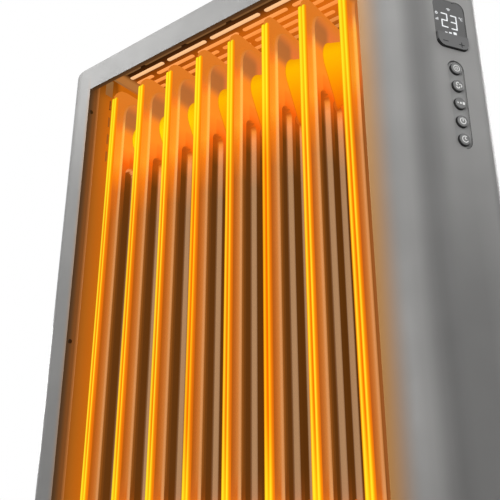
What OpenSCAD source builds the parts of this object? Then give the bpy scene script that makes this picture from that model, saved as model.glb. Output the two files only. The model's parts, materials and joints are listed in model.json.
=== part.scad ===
// Cased oil filled radiator with eight oil fins, a control tower and four casters.
// Millimetres, +Z up, front towards -Y, origin on the floor under the middle.

/* [Casing] */
// Depth of the casing, front face to rear face
case_d = 140; // [132:1:160]
// Height of the casing's top above the floor
case_top = 680; // [620:1:740]
// Wall of the moulded shells
wall = 2.5; // [2:0.1:3]
// Top wall of the shells
top_wall = 3; // [2.6:0.1:4]
// Width of the window that shows the fins
window_w = 350; // [336:1:380]
// Width from the left side to the window
stile_w = 43; // [38:1:50]
// Radius of the roll at the left front and rear corners
side_roll_r = 27; // [20:1:32]
// Height of the rail above the window
top_rail = 35; // [32:1:45]
// Height of the rail below the window
bottom_rail = 40; // [34:1:50]
// Depth of the lips beside and below the window
lip_d = 10.7; // [8:0.1:14]
// Depth of the lip above the window
top_lip_d = 5.2; // [4:0.1:8]
// Radius of the rounded top edge
top_edge_r = 6; // [3:0.5:6]

/* [Tower] */
// Width of the tower, window to nose
tower_w = 76; // [72:1:90]
// Radius of the tower's large front roll
tower_roll_r = 46.6; // [40:0.2:50]
// Distance from the window to the crown of that roll
tower_lead = 8.6; // [7:0.2:10]
// Radius of the nose
nose_r = 8; // [7:0.5:10]

/* [Controls] */
// Width of the display
display_w = 31; // [28:0.1:32]
// Height of the display with its key
display_h = 49; // [45:0.5:53]
// Top of the display below the casing's top
display_drop = 91; // [80:1:110]
// Height of the minus and plus key
key_h = 13; // [11:0.5:15]
// How far the key stands out
key_rise = 2.2; // [1.2:0.1:2.8]
// Width of the recessed button strip
strip_w = 15; // [14:0.1:17]
// Space between the display and the strip
strip_space = 12; // [11:0.5:18]
// Depth of the strip's floor
strip_recess = 1; // [0.6:0.1:1.2]
// Diameter of a button
button_d = 10.5; // [9:0.1:11.2]
// How far a button stands out
button_rise = 1.4; // [1:0.1:1.8]
// Distance between button centres
button_pitch = 16.4; // [15.6:0.1:18]
// Travel of a button
button_travel = 0.8; // [0.5:0.1:0.9]

/* [Fins] */
// Window's left edge to the first fin's middle
fin_gap_left = 20.9; // [19:0.1:24]
// Last fin's middle to the window's right edge
fin_gap_right = 25.3; // [24:0.1:28]
// Depth of a fin, front edge to rear edge
fin_d = 101.2; // [98:0.2:110]
// Top of the fins below the casing's top
fin_drop = 30; // [26:1:40]
// Bottom of the fins above the casing's lower edge
fin_lift = 18; // [14:1:24]
// Thickness of the steel sheet
sheet = 1; // [0.8:0.1:1.2]
// Half thickness of a fin over its oil channels
crest = 6; // [5:0.5:7]
// Distance between oil channels
channel_pitch = 22.3; // [21.5:0.1:23.5]
// Width of a channel's crest
crest_w = 5; // [4.5:0.1:6]
// Radius of the fin's corners
fin_corner_r = 18; // [12:1:22]
// Radius of the round header boss
boss_r = 23; // [20:0.5:24]
// Boss centre below the fin's top
boss_drop = 59; // [54:1:66]

/* [Grille] */
// Thickness of the grille's rim
grille_t = 1.5; // [1:0.1:1.8]
// Depth of the grille's slots
slot_deep = 7.4; // [5:0.1:8]
// Depth of the grille, front to rear
grille_d = 95; // [90:1:100]
// Distance between rows of slots
slot_pitch = 11.1; // [10.5:0.1:11.4]
// Width of a slot
slot_w = 5.3; // [4.5:0.1:6]
// Length of a slot
slot_l = 58.5; // [54:0.5:61]

/* [Base and casters] */
// Diameter of a caster wheel
wheel_d = 44; // [38:1:50]
// Width of a caster wheel
wheel_w = 14; // [12:1:18]
// Distance from the swivel axis back to the axle
trail = 12; // [10:1:15]
// Distance between the front and rear swivel axes
caster_span = 210; // [196:1:240]
// Distance between the two foot bars
bar_span = 300; // [280:1:330]
// Width of a foot bar
bar_w = 34; // [30:1:40]
// Height of a foot bar
bar_h = 15; // [13:0.5:18]
// Thickness of the steel base tray
tray_t = 2; // [1.5:0.1:3]

/* [Hidden] */

eps = 0.01;
// Running gap between parts that lie next to each other
gap = 0.3;
// Steps in each rounded corner of an outline
arc_steps = 8;
n_fins = 8;
n_buttons = 5;

// Casters and foot bars, upwards from the floor
crown_gap = 2;
crown_t = 4.7;
axle_z = wheel_d / 2;
fork_top = wheel_d + crown_gap + crown_t;
bar_z = fork_top + gap;
case_bottom = bar_z + bar_h;
stem_r = 4;
running = 0.06;
stem_l = bar_h - 4;
axle_r = 3;
cheek_t = 2.6;
cheek_gap = 0.6;
cheek_r = 6.5;
crown_r = 16;
bar_end = crown_r + 1;
bar_l = caster_span + 2 * bar_end;
bar_screw_y = [-56, -38, 38, 56];

// Casing in plan
case_w = stile_w + window_w + tower_w;
left_x = -case_w / 2;
right_x = case_w / 2;
front_y = -case_d / 2;
window_x0 = left_x + stile_w;
window_x1 = window_x0 + window_w;
window_z0 = case_bottom + bottom_rail;
window_z1 = case_top - top_rail;
window_mid = (window_x0 + window_x1) / 2;
roll_c = [window_x1 + tower_lead, front_y + tower_roll_r];
nose_c = [right_x - nose_r, 0];
roll_to_nose = nose_c - roll_c;
// The flat panel lies along the line that touches both the roll and the nose
panel_turn = 90 + atan2(roll_to_nose.y, roll_to_nose.x)
           - acos((tower_roll_r - nose_r) / norm(roll_to_nose));
panel_out = [sin(panel_turn), -cos(panel_turn)];
panel_along = [cos(panel_turn), sin(panel_turn)];
panel_start = roll_c + tower_roll_r * panel_out;
panel_end = nose_c + nose_r * panel_out;
panel_shift = 0.7;
panel_mid = (panel_start + panel_end) / 2 + panel_shift * panel_along;

// Liners stand behind the window's lips
liner_t = 1.5;
liner_y = case_d / 2 - wall - 0.5;
left_liner_x = window_x0 - wall - liner_t;
tower_liner_x = window_x1 + wall;
ledge_w = 4.5;
ledge_h = 3;
liner_z0 = case_bottom + tray_t + ledge_h + gap;
liner_z1 = case_top - top_wall;
bead_r = 2.4;
bead_y = case_d / 2 - lip_d - bead_r;
vent_y = 36;
vent_l = 14;
vent_w = 3.4;
vent_pitch = 23;
vent_rows = 4;
vent_z = liner_z1 - 43;
notch_y = -45;
notch_w = 12;
notch_h = 24;
notch_z = case_top - 28;

// Screws that join the shells
shell_boss_r = 6.5;
boss_x = [left_x + stile_w / 2, window_x1 + 18];
boss_z = [case_bottom + 24, (case_bottom + case_top) / 2 - 6, case_top - 25];
screw_r = 1.9;
head_r = 3.8;
head_h = 2.6;
seat_y = 14;
screw_l = 30;

// Small screws in the left lip
lip_screw_y = front_y + 4.4;
lip_screw_z = [window_z1 - 29, window_z1 - 299, window_z0 + 20];
lip_screw_r = 1.2;

// Fins
fin_pitch = (window_w - fin_gap_left - fin_gap_right) / (n_fins - 1);
fin_top = case_top - fin_drop;
fin_bottom = case_bottom + fin_lift;
fin_mid = (fin_top + fin_bottom) / 2;
fin_h = fin_top - fin_bottom;
header_h = 107;
header_inset = 11;
header_top = fin_h / 2 - header_inset;
channel_end = fin_h / 2 - header_h;
header_half_w = 1.5 * channel_pitch + crest_w / 2;
header_corner_r = 25;
ramp = 3;
recess_r = (channel_pitch - crest_w) / 2;
boss_z0 = fin_h / 2 - boss_drop;
tail_r = 2.5;
tail_drop = 44;
boss_l = fin_pitch / 2;
end_boss_l = 12;
cap_t = 2;
curl_r = 1.9;
curl_short = 15;

// Element and end fittings at the right-hand end of the block
block_left = window_x0 + fin_gap_left - end_boss_l;
block_right = window_x1 - fin_gap_right + end_boss_l;
element_z = fin_mid - boss_z0;
rod_r = 4;
rod_gap = 12;
flange_r = 17;
flange_t = 5;
neck_r = 12;
neck_l = 8;
saddle_t = 12;
saddle_w = 60;

// Control panel
display_z1 = case_top - display_drop;
display_z0 = display_z1 - display_h;
display_r = 7;
key_z1 = display_z0 + key_h;
strip_z1 = display_z0 - strip_space;
strip_h = (n_buttons - 1) * button_pitch + strip_w;
strip_z0 = strip_z1 - strip_h;
button_z = [for (i = [0:n_buttons - 1]) strip_z1 - strip_w / 2 - i * button_pitch];
aperture_gap = 0.2;
key_side_gap = 0.6;
flange_w = 2;
lens_flange_t = 1.2;
board_t = 1.6;
carrier_rail = 3.6;
carrier_w = display_w + 2 * (flange_w + carrier_rail + gap);
carrier_y = wall;
board_half = carrier_w / 2 - carrier_rail - gap;
carrier_d = 8.6;
carrier_z0 = strip_z0 - 12;
carrier_z1 = display_z1 + 8;
key_pivot_y = 5;
key_pin_r = 1.2;
pin_top = 3.6;
pin_bottom = 5;
key_back_y = 3.4;
switch_gap = button_travel + 0.1;
button_back_y = wall + 2.4;
button_l = button_back_y + button_rise;
board_y = 8.8;

// Mains board on standoffs inside the tower, and the cover behind it
standoff = 7;
board_w = 60;
board_h = 140;
relay_w = 16;
relay_h = 15;
transformer_h = 12;
capacitor_r = 7;
capacitor_h = 13;
plug_row_h = 9;
power_z = (case_bottom + case_top) / 2 - 92;
cover_w = 32;
cover_h = 110;
cover_z = (case_bottom + case_top) / 2 - 100;

// Grille
grille_x0 = window_x0 + 1.8;
grille_x1 = window_x1 - 1.8;
grille_z = case_top - grille_t;
ledge_in = 3.5;
grille_shift = 6.6;
grille_mid = window_mid + grille_shift;
middle_slot_l = slot_l + 9.5;
slot_gap = 6.4;
slot_rows = 8;
slot_run = 160;

// Cord gland, in the rear rail below the tower
gland_x = window_x1 - 8;
gland_z = case_bottom + 20;
gland_bore_r = 3.9;
gland_r = 7;
gland_flange_r = 11;
gland_in = 16;

// Hand hold in the rear rail above the window
grip_w = 104;
grip_h = 24;
grip_d = 17;
grip_t = 1.6;
grip_z = case_top - top_rail / 2 - 0.5;

// Outline helpers
function arc(c, r, a0, a1, n = arc_steps) =
    [for (i = [0:n]) c + r * [cos(a0 + (a1 - a0) * i / n), sin(a0 + (a1 - a0) * i / n)]];

// A rectangle with round corners, centred
module rounded(w, h, r) {
    square([w - 2 * r, h], center = true);
    square([w, h - 2 * r], center = true);
    for (x = [-1, 1], y = [-1, 1]) translate([x * (w / 2 - r), y * (h / 2 - r)]) circle(r = r, $fn = 48);
}

// Casing outline, drawn inside its outer face by inset
function casing_outline(inset = 0) = concat(
    arc([left_x + side_roll_r, front_y + side_roll_r], side_roll_r - inset, 180, 270),
    arc(roll_c, tower_roll_r - inset, 270, 270 + panel_turn, 2 * arc_steps),
    arc(nose_c, nose_r - inset, panel_turn - 90, 90 - panel_turn),
    arc([roll_c.x, -roll_c.y], tower_roll_r - inset, 90 - panel_turn, 90, 2 * arc_steps),
    arc([left_x + side_roll_r, -front_y - side_roll_r], side_roll_r - inset, 90, 180));

// A flat shape drawn in Y and Z, made thick along X from x0
module along_x(x0, t) translate([x0, 0, 0]) rotate([90, 0, 90]) linear_extrude(t) children();
// A flat shape drawn in X and Z, made thick along Y from y0
module along_y(y0, t) translate([0, y0 + t, 0]) rotate([90, 0, 0]) linear_extrude(t) children();
// A box from its low corner to its high corner
module box(lo, hi) translate(lo) cube(hi - lo);
// A cylinder along +Y from y0 to y1
module rod_y(r, y0, y1) translate([0, y0, 0]) rotate([-90, 0, 0]) cylinder(r = r, h = y1 - y0, $fn = 48);
// A cylinder along +X from x0 to x1
module rod_x(r, x0, x1) translate([x0, 0, 0]) rotate([0, 90, 0]) cylinder(r = r, h = x1 - x0, $fn = 48);
// Places a piece on the slanted control panel: X runs along it, +Y goes inwards
module on_panel(z = 0) translate([panel_mid.x, panel_mid.y, z]) rotate([0, 0, panel_turn]) children();

// Solid casing block with its rounded top edge
module casing_block() {
    translate([0, 0, case_bottom])
        linear_extrude(case_top - top_edge_r - case_bottom) polygon(casing_outline());
    hull() for (a = [0:18:90])
        translate([0, 0, case_top - top_edge_r * (1 - sin(a)) - eps])
            linear_extrude(eps) polygon(casing_outline(top_edge_r * (1 - cos(a))));
}

// Front half of the casing as a bare wall, with lips, ledge and screw bosses
module half_shell() {
    difference() {
        casing_block();
        translate([0, 0, case_bottom - 1])
            linear_extrude(case_top - top_wall - case_bottom + 1) polygon(casing_outline(wall));
        box([left_x - 1, 0, 0], [right_x + 1, case_d, case_top + 1]);
        box([window_x0, front_y - 1, window_z0], [window_x1, front_y + wall + 1, window_z1]);
        grille_cut();
        window_roll();
    }
    // Lips round the window
    for (x = [window_x0 - wall, window_x1])
        box([x, front_y + wall / 2, window_z0 - wall], [x + wall, front_y + lip_d, window_z1 + wall]);
    box([window_x0 - wall, front_y + wall / 2, window_z0 - wall],
        [window_x1 + wall, front_y + lip_d, window_z0]);
    box([window_x0 - wall, front_y + wall / 2, window_z1],
        [window_x1 + wall, front_y + top_lip_d, window_z1 + wall]);
    // Ledge that the base tray seats under
    intersection() {
        translate([0, 0, case_bottom + tray_t]) linear_extrude(ledge_h) difference() {
            polygon(casing_outline(wall / 2));
            polygon(casing_outline(wall + ledge_w));
        }
        box([left_x, front_y, 0], [right_x, 0, case_top]);
    }
    for (x = boss_x, z = boss_z)
        translate([x, 0, z]) rod_y(shell_boss_r, front_y + wall / 2 + 1.5, 0);
}

// The roll on the tower's edge beside the window
module window_roll() {
    translate([0, 0, window_z0]) linear_extrude(window_z1 - window_z0) difference() {
        translate([window_x1 - 1, front_y - 1]) square([tower_lead + 1, wall]);
        polygon(arc(roll_c, tower_roll_r, 250, 290, 4 * arc_steps));
    }
}

// Rebate and opening for the top grille
module grille_cut() {
    translate([(grille_x0 + grille_x1) / 2, 0, grille_z]) linear_extrude(grille_t + 1)
        rounded(grille_x1 - grille_x0 + 2 * aperture_gap, grille_d + 2 * aperture_gap, 4);
    translate([(grille_x0 + grille_x1) / 2, 0, case_top - top_wall - 1]) linear_extrude(top_wall + 2)
        rounded(grille_x1 - grille_x0 - 2 * ledge_in, grille_d - 2 * ledge_in, 3);
}

module front_shell() color("#979795") difference() {
    half_shell();
    on_panel((display_z0 + display_z1) / 2) along_y(-3, wall + 4)
        rounded(display_w + 2 * aperture_gap, display_h + 2 * aperture_gap, display_r);
    on_panel((strip_z0 + strip_z1) / 2) along_y(-3, wall + 4)
        rounded(strip_w + 2 * aperture_gap, strip_h + 2 * aperture_gap, strip_w / 2);
    for (x = boss_x, z = boss_z)
        translate([x, 0, z]) rod_y(screw_r, -(screw_l - seat_y + 2), 1);
    for (z = lip_screw_z)
        translate([0, lip_screw_y, z]) rod_x(lip_screw_r + 0.1, window_x0 - wall - 1, window_x0 + 1);
}

module rear_shell() color("#8f8f8d") difference() {
    mirror([0, 1, 0]) half_shell();
    for (x = boss_x, z = boss_z) translate([x, 0, z]) {
        rod_y(head_r + 0.5, seat_y, case_d);
        rod_y(screw_r + 0.3, -1, seat_y + 1);
    }
    translate([gland_x, 0, gland_z]) rod_y(gland_r + 0.1, case_d / 2 - lip_d - 2, case_d);
    translate([window_mid, 0, grip_z]) along_y(case_d / 2 - wall - 1, wall + 3)
        rounded(grip_w + 2 * aperture_gap, grip_h + 2 * aperture_gap, 7);
    mirror([0, 1, 0]) on_panel(cover_z) along_y(-3, wall + 4)
        rounded(cover_w + 2 * aperture_gap, cover_h + 2 * aperture_gap, 5);
}

// Slots run in staggered rows, short ones filling the ends
module slot(x0, x1, y) translate([(x0 + x1) / 2, y])
    rounded(x1 - x0, slot_w, slot_w / 2 - eps);

module slot_field() {
    for (row = [0:slot_rows - 1], side = [-1, 1]) {
        y = (row - (slot_rows - 1) / 2) * slot_pitch;
        start = row % 2 == 0 ? slot_gap / 2 : middle_slot_l / 2 + slot_gap;
        if (row % 2 == 1 && side > 0) slot(-middle_slot_l / 2, middle_slot_l / 2, y);
        for (x = [start:slot_l + slot_gap:slot_run - 2 * slot_w]) {
            far = min(x + slot_l, slot_run);
            slot(min(side * x, side * far), max(side * x, side * far), y);
        }
    }
}

// Moulded grille: a rim that lies in the rebate, and deeper slots inside the opening
module top_grille() color("#8c8c8a") difference() {
    translate([(grille_x0 + grille_x1) / 2, 0, 0]) {
        translate([0, 0, grille_z]) linear_extrude(grille_t) rounded(grille_x1 - grille_x0, grille_d, 4);
        translate([0, 0, case_top - slot_deep]) linear_extrude(slot_deep - eps)
            rounded(grille_x1 - grille_x0 - 2 * ledge_in - 1, grille_d - 2 * ledge_in - 1, 3);
    }
    translate([grille_mid, 0, case_top - slot_deep - 1]) linear_extrude(slot_deep + 2) slot_field();
}

// A moulded cup behind the slot in the rear rail, open to the rear
module grip_cup() color("#3a3a3a") translate([window_mid, 0, grip_z]) difference() {
    union() {
        along_y(case_d / 2 - grip_d, grip_d) rounded(grip_w, grip_h, 7);
        along_y(case_d / 2 - wall - grip_t, grip_t) rounded(grip_w + 6, grip_h + 4, 8);
    }
    along_y(case_d / 2 - grip_d + grip_t, grip_d) rounded(grip_w - 2 * grip_t, grip_h - 2 * grip_t, 6);
}

module service_cover() color("#858583") mirror([0, 1, 0]) on_panel(cover_z) {
    along_y(0, wall) rounded(cover_w, cover_h, 5);
    along_y(wall, grip_t) rounded(cover_w + 8, cover_h + 8, 6);
}

// Steel floor of the casing, with inlet slots below the fins
module base_tray() color("#5c5c5c") difference() {
    translate([0, 0, case_bottom]) linear_extrude(tray_t) difference() {
        polygon(casing_outline(wall + gap));
        translate([grille_mid, 0]) intersection() {
            slot_field();
            square([bar_span - bar_w - 60, grille_d], center = true);
        }
    }
    foot_screw_places() translate([0, 0, case_bottom - 1])
        cylinder(r = screw_r + 0.1, h = tray_t + 2, $fn = 32);
}

module vents(x0) for (s = [-1, 1], row = [0:vent_rows - 1])
    translate([x0, s * vent_y - vent_w / 2, vent_z - row * vent_pitch])
        cube([liner_t + 2, vent_w, vent_l]);

module left_liner() color("#a4561c") {
    difference() {
        box([left_liner_x, -liner_y, liner_z0], [left_liner_x + liner_t, liner_y, liner_z1]);
        vents(left_liner_x - 1);
        for (z = lip_screw_z) translate([0, lip_screw_y, z])
            rod_x(lip_screw_r + 0.1, left_liner_x - 1, left_liner_x + liner_t + 1);
        for (y = [notch_y, -notch_y - notch_w])
            box([left_liner_x - 1, y, notch_z], [window_x0, y + notch_w, notch_z + notch_h]);
    }
    // Stiffening beads just inside the lips
    for (s = [-1, 1]) intersection() {
        translate([left_liner_x + liner_t, s * bead_y, liner_z0])
            cylinder(r = bead_r, h = liner_z1 - liner_z0, $fn = 32);
        box([left_liner_x + liner_t / 2, -liner_y, liner_z0], [window_x0 + 5, liner_y, liner_z1]);
    }
}

module tower_liner() color("#8a8a88") {
    difference() {
        box([tower_liner_x, -liner_y, liner_z0], [tower_liner_x + liner_t, liner_y, liner_z1]);
        vents(tower_liner_x - 1);
        translate([0, 0, element_z]) rod_x(flange_r + 5, tower_liner_x - 1, tower_liner_x + liner_t + 1);
    }
    // Standoffs that carry the power board
    for (y = [-1, 1], z = [-1, 1])
        translate([0, y * (board_w / 2 - 5), power_z + z * (board_h / 2 - 5)])
            rod_x(3, tower_liner_x + liner_t / 2, tower_liner_x + liner_t + standoff);
}

module liner_screws() color("#4a4a4a") for (z = lip_screw_z) translate([0, lip_screw_y, z]) {
    rod_x(lip_screw_r, left_liner_x - 2, window_x0);
    rod_x(lip_screw_r * 1.9, window_x0, window_x0 + 0.8);
}

module shell_screws() color("#3c3c3c") for (x = boss_x, z = boss_z) translate([x, 0, z]) {
    rod_y(screw_r - 0.02, seat_y - screw_l, seat_y + eps);
    difference() {
        rod_y(head_r, seat_y, seat_y + head_h);
        for (a = [0, 90]) rotate([0, a, 0]) box([-2, seat_y + 1, -0.4], [2, seat_y + head_h + 1, 0.4]);
    }
}

// Flat shapes of a fin, drawn in Y and Z about the fin's middle
module fin_sheet_shape() rounded(fin_d, fin_h, fin_corner_r);
module header_shape(grow = 0) for (s = [-1, 1])
    translate([0, s * (header_top + channel_end - header_corner_r) / 2])
        rounded(2 * (header_half_w + grow),
            header_top - channel_end + header_corner_r + 2 * grow, header_corner_r);
module recess_shape(grow = 0) for (i = [-1:1]) translate([i * channel_pitch, 0])
    rounded(2 * (recess_r - grow), 2 * (channel_end + recess_r - grow), recess_r - grow - eps);

// Round boss drawn out to a tail that points to the fin's middle
module boss_shape(r, tail) {
    lean = asin((r - tail) / tail_drop);
    side = [cos(lean), -sin(lean)];
    for (s = [-1, 1]) scale([1, s]) translate([0, boss_z0]) polygon(concat(
        arc([0, 0], r, -lean, 180 + lean, 1.5 * arc_steps),
        arc([0, -tail_drop], tail, 180 + lean, 360 - lean, arc_steps / 2)));
}

// Oil space of a fin, or with grow its outer skin: channels, headers and bosses
module oil_space(shrink, left_l, right_l) {
    w = crest_w / 2 - shrink / 2;
    for (i = [-1.5:1:1.5]) translate([0, i * channel_pitch, -channel_end - 3])
        linear_extrude(2 * channel_end + 6) polygon([
            [crest - shrink, -w], [crest - shrink, w], [sheet - shrink, w + ramp],
            [shrink - sheet, w + ramp], [shrink - crest, w], [shrink - crest, -w],
            [shrink - sheet, -w - ramp], [sheet - shrink, -w - ramp]]);
    along_x(shrink - crest, 2 * (crest - shrink)) difference() {
        header_shape(-shrink);
        recess_shape(-shrink);
    }
    along_x(shrink - crest / 2, crest - 2 * shrink) difference() {
        header_shape(1.5 - shrink);
        recess_shape(1.5 - shrink);
    }
    along_x(-left_l, left_l + right_l) boss_shape(boss_r - shrink, tail_r - shrink);
}

module fin(i) {
    left_l = i == 1 ? end_boss_l : boss_l;
    right_l = i == n_fins ? end_boss_l : boss_l;
    color("#e8871c") translate([window_x0 + fin_gap_left + (i - 1) * fin_pitch, 0, fin_mid]) difference() {
        union() {
            along_x(-sheet, 2 * sheet) fin_sheet_shape();
            oil_space(0, left_l, right_l);
            // Curled edges of the two sheets, side by side
            for (x = [-curl_r, curl_r], y = [-1, 1])
                translate([x, y * (fin_d / 2 - curl_r), curl_short - fin_h / 2])
                    cylinder(r = curl_r, h = fin_h - 2 * curl_short, $fn = 24);
        }
        oil_space(sheet, left_l + 1, right_l + 1);
    }
}

// Plates that close the four open ends of the headers
module end_caps() color("#d9770f") translate([0, 0, fin_mid]) difference() {
    for (x = [block_left - cap_t, block_right]) along_x(x, cap_t) boss_shape(boss_r, tail_r);
    translate([0, 0, boss_z0]) rod_x(5 + 0.05, block_right - 1, block_right + cap_t + 1);
    translate([0, 0, -boss_z0]) rod_x(neck_r + 0.05, block_right - 1, block_right + cap_t + 1);
}

module filler_plug() color("#b8a060") translate([0, 0, fin_mid + boss_z0]) {
    rod_x(5, block_right - 4, block_right + cap_t + eps);
    translate([block_right + cap_t, 0, 0]) rotate([0, 90, 0]) cylinder(r = 8, h = 5, $fn = 6);
}

// Hairpin rod that lies in the oil of the lower header
module heating_element() color("#b0b0b0") {
    for (s = [-1, 1]) translate([0, 0, element_z + s * rod_gap / 2])
        rod_x(rod_r, block_left + 20, block_right + cap_t - neck_l);
    translate([block_left + 20, 0, element_z]) rotate([90, 0, 0]) rotate([0, 0, 90])
        rotate_extrude(angle = 180, $fn = 48) translate([rod_gap / 2, 0]) circle(r = rod_r, $fn = 24);
}

module element_flange() color("#c8a850") translate([0, 0, element_z]) {
    rod_x(neck_r, block_right + cap_t - neck_l, block_right + cap_t + eps);
    translate([block_right + cap_t, 0, 0]) rotate([0, 90, 0]) cylinder(r = flange_r, h = flange_t, $fn = 6);
    for (s = [-1, 1]) translate([0, 0, s * rod_gap / 2])
        rod_x(1.6, block_right + cap_t + flange_t - eps, block_right + cap_t + flange_t + 12);
}

module thermal_cutout() color("#2e2e2e") translate([0, 0, fin_mid + boss_z0 - 21]) {
    along_x(block_right + cap_t, 1.2) square([14, 20], center = true);
    rod_x(6.5, block_right + cap_t + 1.2 - eps, block_right + cap_t + 8);
}

// Steel saddle that carries the lower header where two fins meet
module saddle(i) color("#6a6a6a") {
    x = window_x0 + fin_gap_left + (i - 0.5) * fin_pitch;
    along_x(x - saddle_t / 2, saddle_t) difference() {
        translate([-saddle_w / 2, case_bottom + tray_t])
            square([saddle_w, element_z - case_bottom - tray_t - 6]);
        translate([0, element_z]) circle(r = boss_r + gap, $fn = 96);
    }
}

// Frame behind the control panel that holds the lens, the key's pin and the boards
module panel_carrier() color("#303030") on_panel() difference() {
    union() {
        for (s = [-1, 1]) translate([s * (carrier_w - carrier_rail) / 2, 0, 0])
            box([-carrier_rail / 2, carrier_y, carrier_z0],
                [carrier_rail / 2, carrier_y + carrier_d, carrier_z1]);
        for (z = [carrier_z0, strip_z1 + 3.5, carrier_z1 - 4])
            box([-carrier_w / 2, carrier_y, z], [carrier_w / 2, carrier_y + carrier_d, z + 4]);
        box([-carrier_w / 2, carrier_y + gap, key_z1 + 1.2],
            [carrier_w / 2, key_pivot_y + 2, key_z1 + pin_top]);
    }
    translate([0, key_pivot_y, strip_z1 + pin_bottom])
        cylinder(r = key_pin_r + running, h = key_z1 + pin_top + 1 - strip_z1 - pin_bottom, $fn = 32);
}

module display_lens() color("#707070") on_panel() {
    difference() {
        translate([0, 0, (display_z0 + display_z1) / 2]) along_y(0.15, wall - 0.15)
            rounded(display_w, display_h, display_r - aperture_gap);
        box([-display_w, -1, display_z0 - 1], [display_w, wall + 1, key_z1 + 0.4]);
    }
    box([-display_w / 2 - flange_w, wall, key_z1 + pin_top + gap],
        [display_w / 2 + flange_w, wall + lens_flange_t, display_z1 + flange_w]);
}

// Key that rocks about an upright pin: minus on its left, plus on its right
module temperature_key() color("#7a7a7a") on_panel() {
    difference() {
        translate([0, 0, (display_z0 + display_z1) / 2]) along_y(-key_rise, key_rise + key_back_y)
            rounded(display_w - 2 * key_side_gap, display_h - 2 * aperture_gap, display_r - aperture_gap);
        box([-display_w, -key_rise - 1, key_z1], [display_w, key_back_y + 1, display_z1 + 1]);
    }
    box([-2.6, key_back_y - eps, display_z0 + 1.5], [2.6, key_pivot_y + 1.2, key_z1 - 0.8]);
    for (s = [-1, 1]) box([s * 9 - 1.2, key_back_y - eps, display_z0 + 4], [s * 9 + 1.2, 4.4, key_z1 - 3]);
    translate([0, key_pivot_y, strip_z1 + pin_bottom + gap])
        cylinder(r = key_pin_r, h = key_z1 + pin_top - strip_z1 - pin_bottom - gap, $fn = 32);
}

module display_board() color("#1f4a2c") on_panel() {
    box([-board_half, board_y, strip_z1 + 8], [board_half, board_y + board_t, carrier_z1 - 4 - gap]);
    // Digit module, kept behind the lens
    box([-12, wall + lens_flange_t + gap, key_z1 + 6], [12, board_y + eps, display_z1 - 3]);
    // Switches under the two ends of the key
    for (s = [-1, 1]) box([s * 9 - 3, 5.3, display_z0 + 3], [s * 9 + 3, board_y + eps, display_z0 + 9]);
}

module button_strip() color("#a0a09e") on_panel((strip_z0 + strip_z1) / 2) difference() {
    union() {
        along_y(strip_recess, button_back_y - 1.2 - strip_recess)
            rounded(strip_w, strip_h, strip_w / 2 - eps);
        along_y(wall, button_back_y - 1.2 - wall)
            rounded(strip_w + 2 * flange_w, strip_h + 2 * flange_w, strip_w / 2 + flange_w - eps);
    }
    for (z = button_z) translate([0, 0, z - (strip_z0 + strip_z1) / 2])
        rod_y(button_d / 2 + 0.25, -1, wall + 5);
}

module push_button(i) color("#8a8a88") on_panel(button_z[i]) {
    translate([0, -button_rise, 0]) rotate([-90, 0, 0]) rotate_extrude($fn = 64) polygon([
        [0, 0], [button_d / 2 - 0.6, 0], [button_d / 2, 0.6],
        [button_d / 2, button_l - 0.9], [button_d / 2 + 1, button_l - 0.9],
        [button_d / 2 + 1, button_l], [0, button_l]]);
}

module switch_board() color("#1f4a2c") on_panel() {
    box([-8, board_y, strip_z0 - 4], [8, board_y + board_t, strip_z1 + 3]);
    box([-board_half, board_y, strip_z0 - 4], [board_half, board_y + board_t, strip_z0 + 4]);
    for (z = button_z) box([-3, button_back_y + switch_gap, z - 3], [3, board_y + eps, z + 3]);
}

// Mains board on standoffs inside the tower
module power_board() color("#2c5a34") {
    x = tower_liner_x + liner_t + standoff;
    face = x + board_t - eps;
    box([x, -board_w / 2, power_z - board_h / 2], [x + board_t, board_w / 2, power_z + board_h / 2]);
    // Relays, transformer, capacitor and plug row
    for (s = [-1, 1]) translate([face, s * 0.27 * board_w - relay_w / 2, power_z - 0.4 * board_h])
        cube([relay_h, relay_w, 0.2 * board_h]);
    translate([face, -0.37 * board_w, power_z - 0.07 * board_h])
        cube([transformer_h, 0.4 * board_w, 0.2 * board_h]);
    translate([face, board_w / 4, power_z + 0.06 * board_h])
        rotate([0, 90, 0]) cylinder(r = capacitor_r, h = capacitor_h, $fn = 32);
    translate([face, -0.4 * board_w, power_z + 0.28 * board_h])
        cube([plug_row_h, 0.8 * board_w, 0.09 * board_h]);
}

module terminal_block() color("#d8d4c8") difference() {
    x = boss_x[1] + shell_boss_r + 1.5;
    box([x, -24, case_bottom + tray_t], [x + 30, -8, case_bottom + tray_t + 16]);
    for (i = [-1:1]) translate([x + 15 + 9 * i, -16, case_bottom + tray_t + 8])
        cylinder(r = 2.6, h = 10, $fn = 32);
}

module tip_switch() color("#c9b458")
    box([tower_liner_x + liner_t, -44, element_z + 14], [tower_liner_x + liner_t + 15, -26, element_z + 42]);

// Air temperature sensor on a stalk above the tray
module room_sensor() color("#454545") translate([right_x - 34, 0, case_bottom + tray_t]) {
    cylinder(r = 5, h = 2, $fn = 32);
    cylinder(r = 1.6, h = 18, $fn = 32);
    translate([0, 0, 18]) sphere(r = 2.6, $fn = 32);
}

module cord_gland() color("#262626") translate([gland_x, 0, gland_z]) difference() {
    union() {
        rod_y(gland_r, case_d / 2 - gland_in, case_d / 2 + eps);
        rod_y(gland_flange_r, case_d / 2, case_d / 2 + 3);
        rod_y(gland_r - 1, case_d / 2 + 3 - eps, case_d / 2 + 9);
    }
    rod_y(gland_bore_r, case_d / 2 - gland_in - 1, case_d / 2 + 10);
}

// Foot bars, with blind bores for the casters' stems
module foot_screw_places() for (s = [-1, 1], y = bar_screw_y) translate([s * bar_span / 2, y, 0]) children();

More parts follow.
